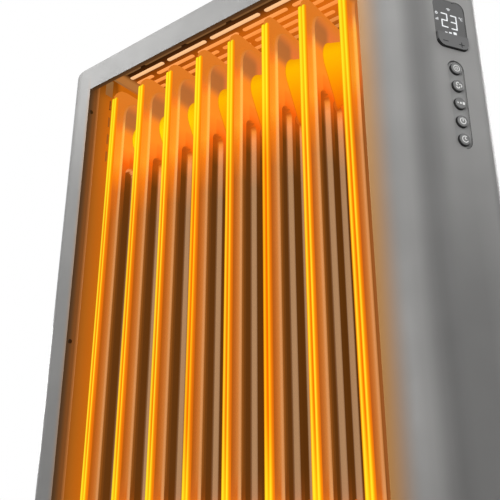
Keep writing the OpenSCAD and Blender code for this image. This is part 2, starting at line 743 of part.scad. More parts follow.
module foot_bar(s) color("#3f3f3f") translate([s * bar_span / 2, 0, 0]) difference() {
    translate([0, 0, bar_z]) linear_extrude(bar_h) rounded(bar_w, bar_l, bar_w / 2 - 1);
    for (y = [-1, 1]) translate([0, y * caster_span / 2, bar_z - 1])
        cylinder(r = stem_r + running, h = stem_l + 1 + gap, $fn = 64);
    for (y = bar_screw_y) translate([0, y, 0]) {
        translate([0, 0, bar_z - 1]) cylinder(r = head_r + 0.5, h = 7, $fn = 32);
        translate([0, 0, bar_z]) cylinder(r = screw_r + 0.1, h = bar_h + 1, $fn = 32);
    }
}

module foot_screws() color("#8a8a8a") foot_screw_places() {
    translate([0, 0, bar_z + 6 - head_h]) cylinder(r = head_r, h = head_h, $fn = 32);
    translate([0, 0, bar_z + 6 - eps]) cylinder(r = screw_r, h = bar_h - 6 + tray_t + 2, $fn = 32);
}

// Casters 1 and 2 are at the front, 3 and 4 at the rear
function caster_at(i) = [(i % 2 == 1 ? -1 : 1) * bar_span / 2, (i <= 2 ? -1 : 1) * caster_span / 2, 0];

module fork(i) color("#4a4a4a") translate(caster_at(i)) {
    difference() {
        union() {
            translate([0, 0, fork_top - crown_t]) cylinder(r = crown_r, h = crown_t, $fn = 64);
            for (s = [-1, 1]) along_y(s * (wheel_w / 2 + cheek_gap + cheek_t / 2) - cheek_t / 2, cheek_t) {
                polygon([[-crown_r + 2, fork_top - crown_t + 1], [7, fork_top - crown_t + 1],
                    [cheek_r - trail, axle_z], [-cheek_r - trail, axle_z]]);
                translate([-trail, axle_z]) circle(r = cheek_r, $fn = 64);
            }
        }
        translate([-trail, 0, axle_z]) rod_y(axle_r + running, -wheel_w, wheel_w);
    }
    translate([0, 0, fork_top - eps]) cylinder(r = stem_r, h = stem_l, $fn = 64);
}

module axle(i) color("#b5b5b5") translate(caster_at(i) + [-trail, 0, axle_z]) {
    half = wheel_w / 2 + cheek_gap + cheek_t;
    rod_y(axle_r, -half - eps, half + eps);
    for (s = [0, 1]) mirror([0, s, 0]) rod_y(axle_r + 1.6, half, half + 1.4);
}

module wheel(i) color("#2b2b2b") translate(caster_at(i) + [-trail, 0, axle_z]) rotate([90, 0, 0]) {
    r = wheel_d / 2;
    half = wheel_w / 2;
    rotate_extrude($fn = 96) polygon([
        [axle_r + running, -half], [8, -half], [9, 2 - half], [r - 6, 2 - half],
        [r - 4.5, -half], [r - 2.5, -half], [r, 2.5 - half],
        [r, half - 2.5], [r - 2.5, half], [r - 4.5, half],
        [r - 6, half - 2], [9, half - 2], [8, half], [axle_r + running, half]]);
}

front_shell();
rear_shell();
top_grille();
grip_cup();
service_cover();
base_tray();
left_liner();
tower_liner();
liner_screws();
shell_screws();
fin(1);  // fin_1
fin(2);  // fin_2
fin(3);  // fin_3
fin(4);  // fin_4
fin(5);  // fin_5
fin(6);  // fin_6
fin(7);  // fin_7
fin(8);  // fin_8
end_caps();
filler_plug();
heating_element();
element_flange();
thermal_cutout();
saddle(1);  // left_saddle
saddle(n_fins - 1);  // right_saddle
panel_carrier();
display_lens();
display_board();
temperature_key();
button_strip();
push_button(0);  // ring_button
push_button(1);  // swing_button
push_button(2);  // level_button
push_button(3);  // power_button
push_button(4);  // timer_button
switch_board();
power_board();
terminal_block();
tip_switch();
room_sensor();
cord_gland();
foot_bar(-1);  // left_foot_bar
foot_bar(1);  // right_foot_bar
foot_screws();
fork(1);  // fork_1
fork(2);  // fork_2
fork(3);  // fork_3
fork(4);  // fork_4
axle(1);  // axle_1
axle(2);  // axle_2
axle(3);  // axle_3
axle(4);  // axle_4
wheel(1);  // wheel_1
wheel(2);  // wheel_2
wheel(3);  // wheel_3
wheel(4);  // wheel_4
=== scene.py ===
import json
import math
import bmesh
import bpy
import numpy as np
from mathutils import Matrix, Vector


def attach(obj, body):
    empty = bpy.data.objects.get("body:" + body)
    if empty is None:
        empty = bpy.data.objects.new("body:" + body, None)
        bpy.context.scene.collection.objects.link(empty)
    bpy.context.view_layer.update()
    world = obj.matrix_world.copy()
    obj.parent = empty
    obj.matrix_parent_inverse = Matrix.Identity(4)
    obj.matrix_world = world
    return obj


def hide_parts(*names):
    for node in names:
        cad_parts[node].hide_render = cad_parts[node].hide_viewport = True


MM = 0.001
SCENE = bpy.context.scene

# Sizes of the heater in millimetres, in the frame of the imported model
CASE_TOP = 680.0
CASE_FACE_Y = 69.3
CASE_INSIDE_X = (-233.0, 159.2)
CASE_INSIDE_Z = (67.5, 678.4)
WINDOW_SIDE_X = (-200.0, 157.6)
FIN_COUNT = 8
FIN_X0 = -170.6
FIN_PITCH = 43.4
FIN_MID_Z = 367.0
FIN_HALF_Z = 283.0
FIN_HALF_Y = 50.6
FIN_CORNER = 18.0
HEADER_TOP = 272.0
HEADER_HALF_Y = 35.95
HEADER_CORNER = 25.0
CHANNEL_END = 176.0
CHANNEL_PITCH = 22.3
RECESS_R = 8.65
CREST = 6.0
BOSS_Z = 224.0
BOSS_R = 23.0
OUTER_BOSS_X = 11.98
TAIL_R = 2.5
TAIL_DROP = 44.0
ROLL_R = 1.9
ROLL_WIDTH = 2.2
ROLL_REDNESS = (0.0, 0.3, 0.0, 0.85, 0.3, 1.0, 0.1, 0.2)
ROLL_Y = 48.7
ROLL_HALF_Z = 268.0
# Where a fin's paint changes, and how much later the glow of its lower half and of the first fin begins
OUTER_CHANNEL_Y = 34.0
RECESS_TOP = 188.0
LOWER_LATER = 38.0
FIRST_LATER = 14.0
# Centres of the casing's two upright bends, as x and y
TOWER_ROLL = (167.1, -23.4)
LEFT_ROLL = (-207.5, -43.0)
# The slanted control panel: its middle, the direction along it and the direction into it
PANEL_MID = (220.4909, -25.2839)
PANEL_ALONG = (0.51948731, 0.85447817)
PANEL_IN = (-0.85447817, 0.51948731)
DISPLAY_Z = (540.0, 589.0)
KEY_RISE = 2.2
KEY_TOP_Z = 546.0
STRIP_R = 7.7
GRILLE_UNDER_Z = 678.0
GRILLE_FACE_Z = 679.6
SWIVEL_X, SWIVEL_Y = 150, 105
CASTER_TRAIL = 12
WHEEL_R = 22.0
BUTTON_RISE = 1.4
BUTTONS = {
    "ring_button": 520.5,
    "swing_button": 504.1,
    "level_button": 487.7,
    "power_button": 471.3,
    "timer_button": 454.9,
}


# Small tools for making pieces

def link(name, mesh):
    piece = bpy.data.objects.new(name, mesh)
    SCENE.collection.objects.link(piece)
    return piece


def new_mesh(name, verts, faces, *finishes):
    mesh = bpy.data.meshes.new(name)
    mesh.from_pydata(verts, [], faces)
    for finish in finishes:
        mesh.materials.append(finish)
    return mesh


def circle_points(count):
    """Cosine and sine of places evenly round a circle."""
    turns = [2 * math.pi * k / count for k in range(count)]
    return [(math.cos(a), math.sin(a)) for a in turns]


def smoothed(mesh, angle):
    """Smooth shading that keeps edges sharper than angle, in degrees."""
    mesh.shade_smooth()
    mesh.set_sharp_from_angle(angle=math.radians(angle))


def finished(piece, name, finish, angle=None):
    """Applies the modifiers, so that a plain mesh is left. With an angle, its shading is set anew."""
    bpy.context.view_layer.update()
    graph = bpy.context.evaluated_depsgraph_get()
    mesh = bpy.data.meshes.new_from_object(piece.evaluated_get(graph))
    bpy.data.objects.remove(piece)
    mesh.name = name
    if angle is not None:
        smoothed(mesh, angle)
    mesh.materials.clear()
    mesh.materials.append(finish)
    return link(name, mesh)


def face_outwards(mesh):
    shape = bmesh.new()
    shape.from_mesh(mesh)
    bmesh.ops.recalc_face_normals(shape, faces=shape.faces)
    shape.to_mesh(mesh)
    shape.free()


def softened(node, width, finish, segments=2):
    """A copy of a CAD node with its edges rounded by width, in millimetres, to show in its place."""
    mesh = frame["nodes"][node].data.copy()
    shape = bmesh.new()
    shape.from_mesh(mesh)
    bmesh.ops.remove_doubles(shape, verts=shape.verts, dist=3e-6)
    bmesh.ops.dissolve_limit(shape, angle_limit=math.radians(1.2), verts=shape.verts, edges=shape.edges)
    shape.to_mesh(mesh)
    shape.free()
    smoothed(mesh, 50)
    piece = link(node + "_raw", mesh)
    bevel = piece.modifiers.new("edge", "BEVEL")
    bevel.width = width * MM
    bevel.segments = segments
    bevel.limit_method = "ANGLE"
    bevel.angle_limit = math.radians(32)
    bevel.miter_outer = "MITER_ARC"
    weighted = piece.modifiers.new("flat faces", "WEIGHTED_NORMAL")
    weighted.keep_sharp = True
    result = finished(piece, node + "_look", finish)
    place(result, body_of_node[node], slot_of_node[node], node)
    return result


def place(piece, body, slot, *nodes):
    """Lets a piece ride on a body of the model, in place of the nodes it shows. The slot is not used."""
    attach(piece, body)
    if nodes:
        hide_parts(*nodes)


def paint_faces(piece, finish, chosen):
    """Gives another finish to the faces for which chosen(centre in millimetres, normal) is true."""
    mesh = piece.data
    mesh.materials.append(finish)
    slot = len(mesh.materials) - 1
    for face in mesh.polygons:
        if chosen(face.center / MM, face.normal):
            face.material_index = slot


def inside_casing(at, normal):
    """True for the returns of the window frame and for faces that look into the casing."""
    (x0, x1), (z0, z1) = CASE_INSIDE_X, CASE_INSIDE_Z
    if abs(at.y) > CASE_FACE_Y or not (x0 < at.x < x1 and z0 < at.z < z1):
        return False
    if at.z > CASE_TOP - 10 and normal.z > 0.05:
        return False
    if at.x < WINDOW_SIDE_X[0]:
        return normal.x > 0.3
    return at.x < WINDOW_SIDE_X[1] or normal.x < -0.5


def grid_faces(rows, columns, flip=False, closed=False, start=0):
    """Quads between rows of points, each row holding the same number of columns."""
    last = columns if closed else columns - 1
    faces = []
    for row in range(start, start + (rows - 1) * columns, columns):
        for c in range(last):
            a, b = row + c, row + (c + 1) % columns
            quad = (a, b, b + columns, a + columns)
            faces.append(quad[::-1] if flip else quad)
    return faces


# Finishes

BLACK = (0.0, 0.0, 0.0)
WHITE = (1.0, 1.0, 1.0)


def made(tree, kind, inputs, output=0, **settings):
    """Adds a node to a tree, sets or wires its inputs, and returns one of its outputs."""
    node = tree.nodes.new(kind)
    for key, value in settings.items():
        setattr(node, key, value)
    for key, value in inputs.items():
        if isinstance(value, bpy.types.NodeSocket):
            tree.links.new(value, node.inputs[key])
        else:
            node.inputs[key].default_value = value
    return node.outputs[output]


class Finish:
    """A node material that is built up on Object coordinates."""

    def __init__(self, name, color, roughness, metallic=0.0, **sockets):
        self.mat = bpy.data.materials.new(name)
        self.mat.use_nodes = True
        self.tree = self.mat.node_tree
        self.base = self.tree.nodes["Principled BSDF"].inputs
        self.base["Base Color"].default_value = (*color, 1)
        self.base["Roughness"].default_value = roughness
        self.base["Metallic"].default_value = metallic
        for socket, value in sockets.items():
            self.base[socket.replace("_", " ")].default_value = value
        self.place = made(self.tree, "ShaderNodeTexCoord", {}, "Object")
        self.normal = None

    def wire(self, source, socket):
        self.tree.links.new(source, self.base[socket])

    def noise(self, scale, detail, stretch=None):
        place = self.place
        if stretch:
            place = made(self.tree, "ShaderNodeMapping", {"Vector": place, "Scale": stretch})
        return made(self.tree, "ShaderNodeTexNoise", {"Vector": place, "Scale": scale, "Detail": detail}, "Fac")

    def axis(self, name):
        return made(self.tree, "ShaderNodeSeparateXYZ", {"Vector": self.place}, name)

    def math(self, operation, a, b=0.0):
        return made(self.tree, "ShaderNodeMath", {0: a, 1: b}, operation=operation)

    def product(self, first, *others):
        for other in others:
            first = self.math("MULTIPLY", first, other)
        return first

    def span(self, value, start, end, low=0.0, high=1.0):
        """Turns value from start to end into low to high, smoothly."""
        return made(self.tree, "ShaderNodeMapRange", {
            "Value": value, "From Min": start, "From Max": end, "To Min": low, "To Max": high},
            interpolation_type="SMOOTHSTEP")

    def ramp(self, fac, *stops):
        """Colour at fac between stops of a place and a colour, grey level or hex code."""
        node = self.tree.nodes.new("ShaderNodeValToRGB")
        elements = node.color_ramp.elements
        while len(elements) < len(stops):
            elements.new(0.5)
        for element, (position, color) in zip(elements, stops):
            element.position = position
            element.color = opaque(color)
        self.tree.links.new(fac, node.inputs["Fac"])
        return node.outputs["Color"]

    def mix(self, fac, a, b, blend="MIX"):
        return made(self.tree, "ShaderNodeMix", {0: fac, 6: opaque(a), 7: opaque(b)}, 2,
                    data_type="RGBA", blend_type=blend)

    def tinted(self, paint, tint):
        return self.mix(1.0, paint, tint, "MULTIPLY")

    def dimmed(self, paint, share):
        return self.tinted(paint, self.mix(share, BLACK, WHITE))

    def paint(self):
        """What the base colour is wired to."""
        return self.base["Base Color"].links[0].from_socket

    def color(self, source):
        self.wire(source, "Base Color")

    def roughness(self, fac, low, high):
        self.wire(self.span(fac, 0.3, 0.7, low, high), "Roughness")

    def bump(self, height, distance):
        below = {"Normal": self.normal} if self.normal else {}
        self.normal = made(self.tree, "ShaderNodeBump", {
            "Distance": distance * MM, "Strength": 1.0, "Height": height, **below}, "Normal")
        self.wire(self.normal, "Normal")

    def glow(self, source, strength=1.0):
        if isinstance(source, tuple):
            self.base["Emission Color"].default_value = (*source, 1)
        else:
            self.wire(source, "Emission Color")
        self.base["Emission Strength"].default_value = strength
        return self

    def lit(self, source, skin, glow):
        """Painted light from the fins: part of the colour is reflected and part shines by itself as a painted glow."""
        self.color(self.tinted(source, (skin, skin, skin)))
        self.glow(source, glow)
        self.base["Specular IOR Level"].default_value = 0.1


def hexa(code, gain=1.0):
    """Linear colour of a hex code."""
    parts = [int(code[i:i + 2], 16) / 255 for i in (0, 2, 4)]
    return tuple(gain * (p / 12.92 if p <= 0.04045 else ((p + 0.055) / 1.055) ** 2.4) for p in parts)


def opaque(color):
    """Four values for a colour socket, from a hex code, a grey level or a colour; a wire stays as it is."""
    if isinstance(color, str):
        color = hexa(color)
    if isinstance(color, (int, float)):
        color = (color,) * 3
    return (*color, 1) if isinstance(color, tuple) else color


def scaled(color, gain):
    return tuple(c * gain for c in color)


def moulded(name, color, roughness, grain=0.02, scale=1500.0, **sockets):
    """Moulded plastic: fine grain, faint flow marks and slightly uneven gloss."""
    f = Finish(name, color, roughness, **sockets)
    f.color(f.ramp(f.noise(14.0, 2.0), (0.35, scaled(color, 0.95)), (0.65, scaled(color, 1.05))))
    f.roughness(f.noise(60.0, 4.0), roughness - 0.05, roughness + 0.06)
    f.bump(f.noise(scale, 2.0), grain)
    return f


def enamelled(name, color, roughness):
    """Powder coat on sheet metal: soft orange peel and fine speckle."""
    f = Finish(name, color, roughness)
    f.color(f.ramp(f.noise(2600.0, 1.0), (0.38, scaled(color, 0.9)), (0.62, scaled(color, 1.08))))
    f.roughness(f.noise(90.0, 3.0), roughness - 0.04, roughness + 0.07)
    f.bump(f.noise(420.0, 2.0), 0.05)
    f.bump(f.noise(1800.0, 1.0), 0.015)
    return f


def worked_metal(name, color, roughness, stretch, scale):
    """Bare or plated metal with drawn or turned marks."""
    f = Finish(name, color, roughness, 1.0)
    lines = f.noise(scale, 4.0, stretch)
    f.color(f.ramp(f.noise(40.0, 3.0), (0.3, scaled(color, 0.86)), (0.7, color)))
    f.roughness(lines, roughness - 0.08, roughness + 0.12)
    f.bump(lines, 0.02)
    return f


def casing_finish():
    """Grey plastic with a painted sheen and painted shade round the tower's bend, painted light on the panel's upper
    half, painted shade on the left upright's bend, and painted warm light with a glow beside the window.
    """
    f = moulded("casing plastic", (0.431, 0.4275, 0.42), 0.36, grain=0.02, scale=1700.0, Specular_IOR_Level=0.2)
    x, z, y = f.axis("X"), f.axis("Z"), f.axis("Y")
    top = f.span(z, (CASE_TOP - 2.5) * MM, (CASE_TOP - 0.2) * MM)
    # Painted sheen and shade: gain of the colour by the angle round the tower's bend, in degrees from its front
    turn = f.math("ARCTAN2", f.math("SUBTRACT", x, TOWER_ROLL[0] * MM),
                  f.math("SUBTRACT", TOWER_ROLL[1] * MM, y))
    gains = ((0.0, 1.0), (14, 1.1), (22, 1.2), (29, 1.22), (33, 1.13), (37, 1.0), (41, 0.90), (46, 0.85), (52, 0.89),
             (58, 0.98), (66, 1.04), (90, 1.06), (96, 1.15), (104, 1.25), (107, 0.8), (128, 0.8), (145, 1.0))
    most = 1.25
    sheen = f.ramp(f.math("DIVIDE", turn, math.pi), *[(angle / 180, gain / most) for angle, gain in gains])
    # Painted shade: the panel side of the bend is darker towards the bottom
    fade = f.product(f.span(turn, 0.75, 0.9), f.span(z, 0.42, 0.22, 0.0, 0.10))
    sheen = f.mix(fade, sheen, BLACK)
    # Painted light: the flat panel is made lighter in its upper half
    panel = f.product(f.span(turn, 1.02, 1.30), f.span(turn, 1.84, 1.90, 1.0, 0.0))
    sheen = f.mix(f.product(panel, f.span(z, 0.33, 0.46, 0.0, 0.62)), sheen, (1.2, 1.2, 1.2))
    sheen = f.mix(top, sheen, (1 / most,) * 3)
    # Painted shade: the outer bend of the left upright is darker
    bend = f.math("ARCTAN2", f.math("SUBTRACT", LEFT_ROLL[0] * MM, x), f.math("SUBTRACT", LEFT_ROLL[1] * MM, y))
    gains = ((0, 1.0), (9, 0.95), (18, 0.74), (27, 0.60), (42, 0.58), (66, 0.8), (90, 0.95), (130, 1.0))
    shadow = f.ramp(f.math("DIVIDE", bend, math.radians(130)), *[(angle / 130, gain) for angle, gain in gains])
    shadow = f.mix(top, shadow, WHITE)
    paint = f.tinted(f.tinted(f.paint(), sheen), shadow)
    # Painted warm light from the fins, as colour and a glow, on the faces beside the window
    right = f.product(f.span(x, 0.1575, 0.1582), f.span(x, 0.156, 0.182, 1.0, 0.0))
    left = f.product(f.span(x, -0.1915, -0.1912, 1.0, 0.0), f.span(x, -0.198, -0.190, 0.0, 0.45))
    height = f.product(f.span(z, 0.08, 0.14), f.span(z, 0.620, 0.672, 1.0, 0.0))
    front = f.span(f.math("ABSOLUTE", y), 0.035, 0.060)
    warm = f.product(f.math("MAXIMUM", right, left), f.product(height, front))
    f.color(f.mix(warm, paint, (0.37, 0.225, 0.085)))
    f.glow(f.mix(warm, BLACK, (0.17, 0.05, 0.0)))
    return f.mat


def inner_finish():
    """Inner faces of the casing: painted shade in front and near the top, and painted orange light, partly as a glow,
    towards the fins and under the top.
    """
    f = enamelled("casing inside", hexa("5a3a20"), 0.6)
    y, z = f.axis("Y"), f.axis("Z")
    # Painted light by depth: dark at the casing's face, more orange towards the fins
    depth = f.span(f.math("ABSOLUTE", y), 0.0705, 0.030)
    paint = f.ramp(depth, (0.0, "503a24"), (0.02, "5a4029"), (0.05, "6a4727"), (0.11, "805026"), (0.35, "8a5628"),
                   (0.8, "b06828"))
    # Painted shade near the top, less of it further back
    high = f.math("MAXIMUM", f.span(z, 0.628, 0.674, 1.0, 0.36), f.span(y, -0.036, -0.020, 0.0, 0.95))
    paint = f.dimmed(paint, high)
    # Painted orange light on the faces under the top
    under_top = f.product(f.span(z, 0.6752, 0.6762), f.span(f.math("ABSOLUTE", y), 0.046, 0.036))
    f.lit(f.mix(under_top, paint, f.ramp(f.span(y, -0.040, 0.010), (0.0, "a07848"), (1.0, "bc7230"))), 0.45, 0.65)
    return f.mat


def liner_finish():
    """Liners beside the fins: painted shade at the window's edge and near the top, a painted highlight line on the
    bead, and painted orange light, partly as a glow, in the middle.
    """
    f = enamelled("liner enamel", hexa("9a5a20"), 0.5)
    depth = f.math("DIVIDE", f.math("SUBTRACT", 0.062, f.math("ABSOLUTE", f.axis("Y"))), 0.028)
    paint = f.ramp(depth, (0.0, "70451f"), (0.10, "7c4d22"), (0.16, "a06430"), (0.22, "b9763a"), (0.30, "a45f1a"),
                   (0.54, "b66818"), (0.80, "c66d15"), (1.0, "d07210"))
    # Painted shade near the top, less of it further back
    high = f.math("MAXIMUM", f.span(f.axis("Z"), 0.640, 0.676, 1.0, 0.42),
                  f.span(f.axis("Y"), -0.036, -0.020, 0.0, 0.95))
    f.lit(f.dimmed(paint, high), 0.4, 0.72)
    return f.mat


def lit_bars_finish():
    """Underside of the grille: painted shade to the front, and painted light, partly as a glow, over the fins and
    towards the tower.
    """
    f = enamelled("grille underside", hexa("8a4a10"), 0.6)
    y = f.axis("Y")
    paint = f.ramp(f.span(y, -0.044, 0.0), (0.05, "241405"), (0.22, "4e2808"), (0.5, "8e4708"), (0.75, "b45a0a"),
                   (1.0, "bf5f0c"))
    paint = f.mix(f.span(y, 0.010, 0.046), paint, "8a4a12")
    # A painted lighter patch at the left front
    left = f.product(f.span(f.axis("X"), -0.166, -0.176), f.span(y, -0.044, -0.036),
                     f.span(f.axis("Z"), 0.668, 0.671))
    f.lit(f.mix(left, paint, "d0904c"), 0.35, 0.62)
    # Painted glow, stronger towards the tower
    f.wire(f.span(f.axis("X"), -0.17, 0.06, 0.53, 1.08), "Emission Strength")
    return f.mat


def slot_wall_finish():
    """Walls of the grille's slots, in painted light and glow: pale in the second row, more orange behind it, and
    painted shade in the outer rows.
    """
    f = enamelled("slot wall", hexa("d08848"), 0.6)
    y = f.axis("Y")
    paint = f.ramp(f.span(y, -0.0445, 0.0), (0.0, "6e4a24"), (0.2, "8a6036"), (0.27, "ffcf9a"), (0.45, "ffc48a"),
                   (0.6, "ffa85a"), (0.9, "ff9c48"), (1.0, "ff9a44"))
    f.lit(f.mix(f.span(y, 0.012, 0.044), paint, "d88a44"), 0.2, 0.86)
    return f.mat


def fin_finish():
    f = enamelled("fin enamel", hexa("8a5730"), 0.42)
    # The sheets' colour is the glow paint attribute: painted glow, painted highlights and painted shade, partly shining
    # by itself
    f.lit(made(f.tree, "ShaderNodeAttribute", {}, "Color", attribute_name="glow paint"), 0.42, 0.68)
    f.base["Specular IOR Level"].default_value = 0.0
    return f.mat


def hem_finish():
    """The rolled edges shine as a painted glow: orange outside, yellow on the crowns, and red in the groove."""
    f = Finish("glowing roll", (0.05, 0.01, 0.0), 0.5, Specular_IOR_Level=0.0)
    turn = f.math("DIVIDE", f.math("ADD", f.axis("X"), (FIN_PITCH / 2 - FIN_X0) * MM), FIN_PITCH * MM)
    off = f.math("MULTIPLY", f.math("SUBTRACT", f.math("FRACT", turn), 0.5), FIN_PITCH)
    across = f.math("DIVIDE", f.math("ABSOLUTE", off), 2 * ROLL_WIDTH)
    yellow = f.ramp(across, (0.0, "ff6400"), (0.16, "ff9808"), (0.32, "ffd020"), (0.5, "fff040"), (0.64, "ffc41a"),
                    (0.8, "ff900e"), (1.0, "e87010"))
    orange = f.ramp(across, (0.0, "ff5c00"), (0.14, "ff7a06"), (0.3, "fda80e"), (0.5, "ffc41e"), (0.68, "ffa412"),
                    (0.84, "fd860e"), (1.0, "dc6a10"))
    high = f.ramp(across, (0.0, "ffb408"), (0.2, "ffe01a"), (0.5, "fff430"), (0.68, "ffdc1c"), (0.85, "ffa80c"),
                  (1.0, "ff800a"))
    # Each fin glows a little differently along its length
    share = f.ramp(f.math("DIVIDE", turn, FIN_COUNT),
                   *[((n + 0.5) / FIN_COUNT, redness) for n, redness in enumerate(ROLL_REDNESS)])
    low = f.mix(share, yellow, orange)
    end = f.span(f.math("ABSOLUTE", f.math("SUBTRACT", f.axis("Z"), FIN_MID_Z * MM)), 0.100, 0.200)
    uneven = f.span(f.noise(16.0, 2.0, (1, 1, 0.25)), 0.35, 0.65, 0.92, 1.0)
    f.glow(f.dimmed(f.mix(end, low, high), uneven))
    f.bump(f.noise(700.0, 2.0), 0.03)
    return f.mat


def display_finish():
    f = Finish("display window", (0.155, 0.155, 0.155), 0.32, Specular_IOR_Level=0.35)
    f.color(f.ramp(f.noise(30.0, 2.0), (0.3, 0.148), (0.7, (0.162, 0.162, 0.161))))
    f.roughness(f.noise(500.0, 3.0), 0.28, 0.36)
    f.bump(f.noise(900.0, 2.0), 0.004)
    return f.mat


def lit_finish(name, code):
    f = Finish(name, hexa("202020"), 0.4)
    f.glow(f.ramp(f.noise(400.0, 2.0), (0.3, hexa(code, 0.93)), (0.7, code)))
    return f.mat


def rubber_finish(name, color):
    f = Finish(name, color, 0.72)
    f.color(f.ramp(f.noise(120.0, 4.0), (0.3, scaled(color, 0.75)), (0.7, scaled(color, 1.25))))
    f.roughness(f.noise(300.0, 3.0), 0.62, 0.82)
    f.bump(f.noise(900.0, 3.0), 0.06)
    return f.mat


def board_finish():
    f = Finish("circuit board", (0.02, 0.09, 0.03), 0.42)
    f.color(made(f.tree, "ShaderNodeTexBrick", {
        "Vector": f.place, "Scale": 90.0, "Mortar Size": 0.04, "Color1": (0.018, 0.08, 0.03, 1),
        "Color2": (0.03, 0.12, 0.045, 1), "Mortar": (0.35, 0.24, 0.08, 1)}, "Color"))
    f.bump(f.paint().node.outputs["Fac"], 0.03)
    return f.mat


# Camera, lamps and floor

def make_camera():
    """The photograph's view: from low down in front and to the right, looking up."""
    data = bpy.data.cameras.new("camera")
    data.lens = 50
    data.sensor_width = 36
    data.clip_start = 0.01
    camera = bpy.data.objects.new("camera", data)
    SCENE.collection.objects.link(camera)
    camera.location = (0.378, -0.5057, 0.183)
    camera.rotation_euler = (math.radians(110.67), 0, math.radians(37.5))
    SCENE.camera = camera


def lamp(name, place_at, aim, watts, size=0.3):
    data = bpy.data.lights.new(name, "AREA")
    data.shape = "RECTANGLE"
    data.size = data.size_y = size
    data.energy = watts
    light = bpy.data.objects.new(name, data)
    SCENE.collection.objects.link(light)
    light.location = place_at
    light.rotation_euler = (Vector(aim) - Vector(place_at)).to_track_quat("-Z", "Y").to_euler()


def seen_share(tree):
    """1 for what the camera sees, directly, mirrored or through glass, and 0 for light that falls on things."""
    path = tree.nodes.new("ShaderNodeLightPath").outputs
    share = path["Is Camera Ray"]
    for ray in ("Is Glossy Ray", "Is Transmission Ray"):
        share = made(tree, "ShaderNodeMath", {0: share, 1: path[ray]}, operation="MAXIMUM")
    return share


def make_studio():
    """Seven soft lamps, a dim world that looks white, and a pale floor that keeps the shadow."""
    lamp("key", (-0.30, -0.70, 1.30), (-0.12, -0.02, 0.60), 2.3)
    lamp("front", (0.31, -0.95, 0.42), (0.0, 0.0, 0.42), 2.65)
    lamp("corner", (-0.30, -0.30, 0.80), (-0.12, -0.02, 0.60), 1.02)
    lamp("tower", (0.40, -0.30, 0.70), (0.20, 0.0, 0.50), 0.48)
    lamp("panel", (0.40, 0.30, 0.70), (0.20, 0.0, 0.50), 1.6)
    lamp("left", (-0.98, 0.21, 0.42), (0.0, 0.0, 0.42), 1.6)
    lamp("back", (-0.30, 1.30, 0.80), (0.0, 0.0, 0.36), 8.0, size=0.6)
    world = bpy.data.worlds.new("studio")
    SCENE.world = world
    world.use_nodes = True
    tree = world.node_tree
    background = tree.nodes["Background"].inputs
    air = made(tree, "ShaderNodeMix", {0: seen_share(tree), 6: opaque(0.02), 7: opaque(WHITE)}, 2, data_type="RGBA")
    tree.links.new(air, background["Color"])
    background["Strength"].default_value = 1.0
    f = Finish("studio floor", (0.80, 0.80, 0.80), 0.6, Specular_IOR_Level=0.1)
    seen = seen_share(f.tree)
    f.color(f.mix(seen, f.ramp(f.noise(3.0, 3.0), (0.3, 0.79), (0.7, 0.81)), (0.32, 0.32, 0.32)))
    f.glow(f.mix(seen, BLACK, (0.60, 0.60, 0.60)))
    corners = [(-4, -4, 0), (4, -4, 0), (4, 4, 0), (-4, 4, 0)]
    floor = link("floor", new_mesh("floor", corners, [(0, 1, 2, 3)], f.mat))


# Fins

def rounded_box_distance(y, z, half_y, half_z, r):
    """Distance outside a rounded rectangle, negative inside."""
    qy, qz = np.abs(y) - (half_y - r), np.abs(z) - (half_z - r)
    return np.hypot(np.maximum(qy, 0), np.maximum(qz, 0)) + np.minimum(np.maximum(qy, qz), 0) - r


def smooth(t):
    t = np.clip(t, 0, 1)
    return t * t * (3 - 2 * t)


def fin_height(y, z):
    """Half thickness of a fin at a place on its sheet, and how far it is pressed out, 0 to 1."""
    pressed = smooth(1 - rounded_box_distance(y, z, HEADER_HALF_Y, HEADER_TOP, HEADER_CORNER) / 3)
    for k in (-1, 0, 1):
        along = np.maximum(np.abs(z) - CHANNEL_END, 0)
        inside = RECESS_R - np.hypot(y - k * CHANNEL_PITCH, along)
        pressed = pressed * (1 - smooth(inside / 3))
    return 1 + (CREST - 1) * pressed, pressed


def fin_lines():
    """Depths and heights of the points of a fin's sheet, close together where it bends."""
    lines = {0.0, FIN_HALF_Y, 49.6, 47.5, 46.5, 45.0, 43.0, 41.0}
    on_channel = (0, 1.4, 2.2, 2.6, 3.0, 3.5, 4.0, 4.5, 5.0, 5.4, 5.8)
    on_recess = (0, 1.6, 3.4)
    for k, offsets in [(k, on_channel) for k in (-1.5, -0.5, 0.5, 1.5)] + [(k, on_recess) for k in (-1, 0, 1)]:
        for d in offsets:
            lines |= {round(k * CHANNEL_PITCH + d, 3), round(k * CHANNEL_PITCH - d, 3)}
    lines |= {-v for v in lines}
    columns = np.array(sorted(lines))
    ends = np.concatenate([np.linspace(166, 194, 24), np.linspace(196, 238, 12), np.linspace(240, 268, 24),
                           np.linspace(270, FIN_HALF_Z, 9)])
    rows = np.concatenate([-ends[::-1], np.linspace(-150, 150, 9), ends])
    return columns, rows


def shade(stops, value):
    """Colour at value between hex stops that are in rising order."""
    places = [place for place, code in stops]
    colours = np.array([hexa(code) for place, code in stops])
    return np.stack([np.interp(value, places, colours[:, k]) for k in range(3)], -1)


def glow_height(z):
    """Distance from a fin's middle, taken shorter in the lower half, so that its glow begins later."""
    return np.where(z > 0, np.abs(z), np.maximum(np.abs(z) - LOWER_LATER, 0))


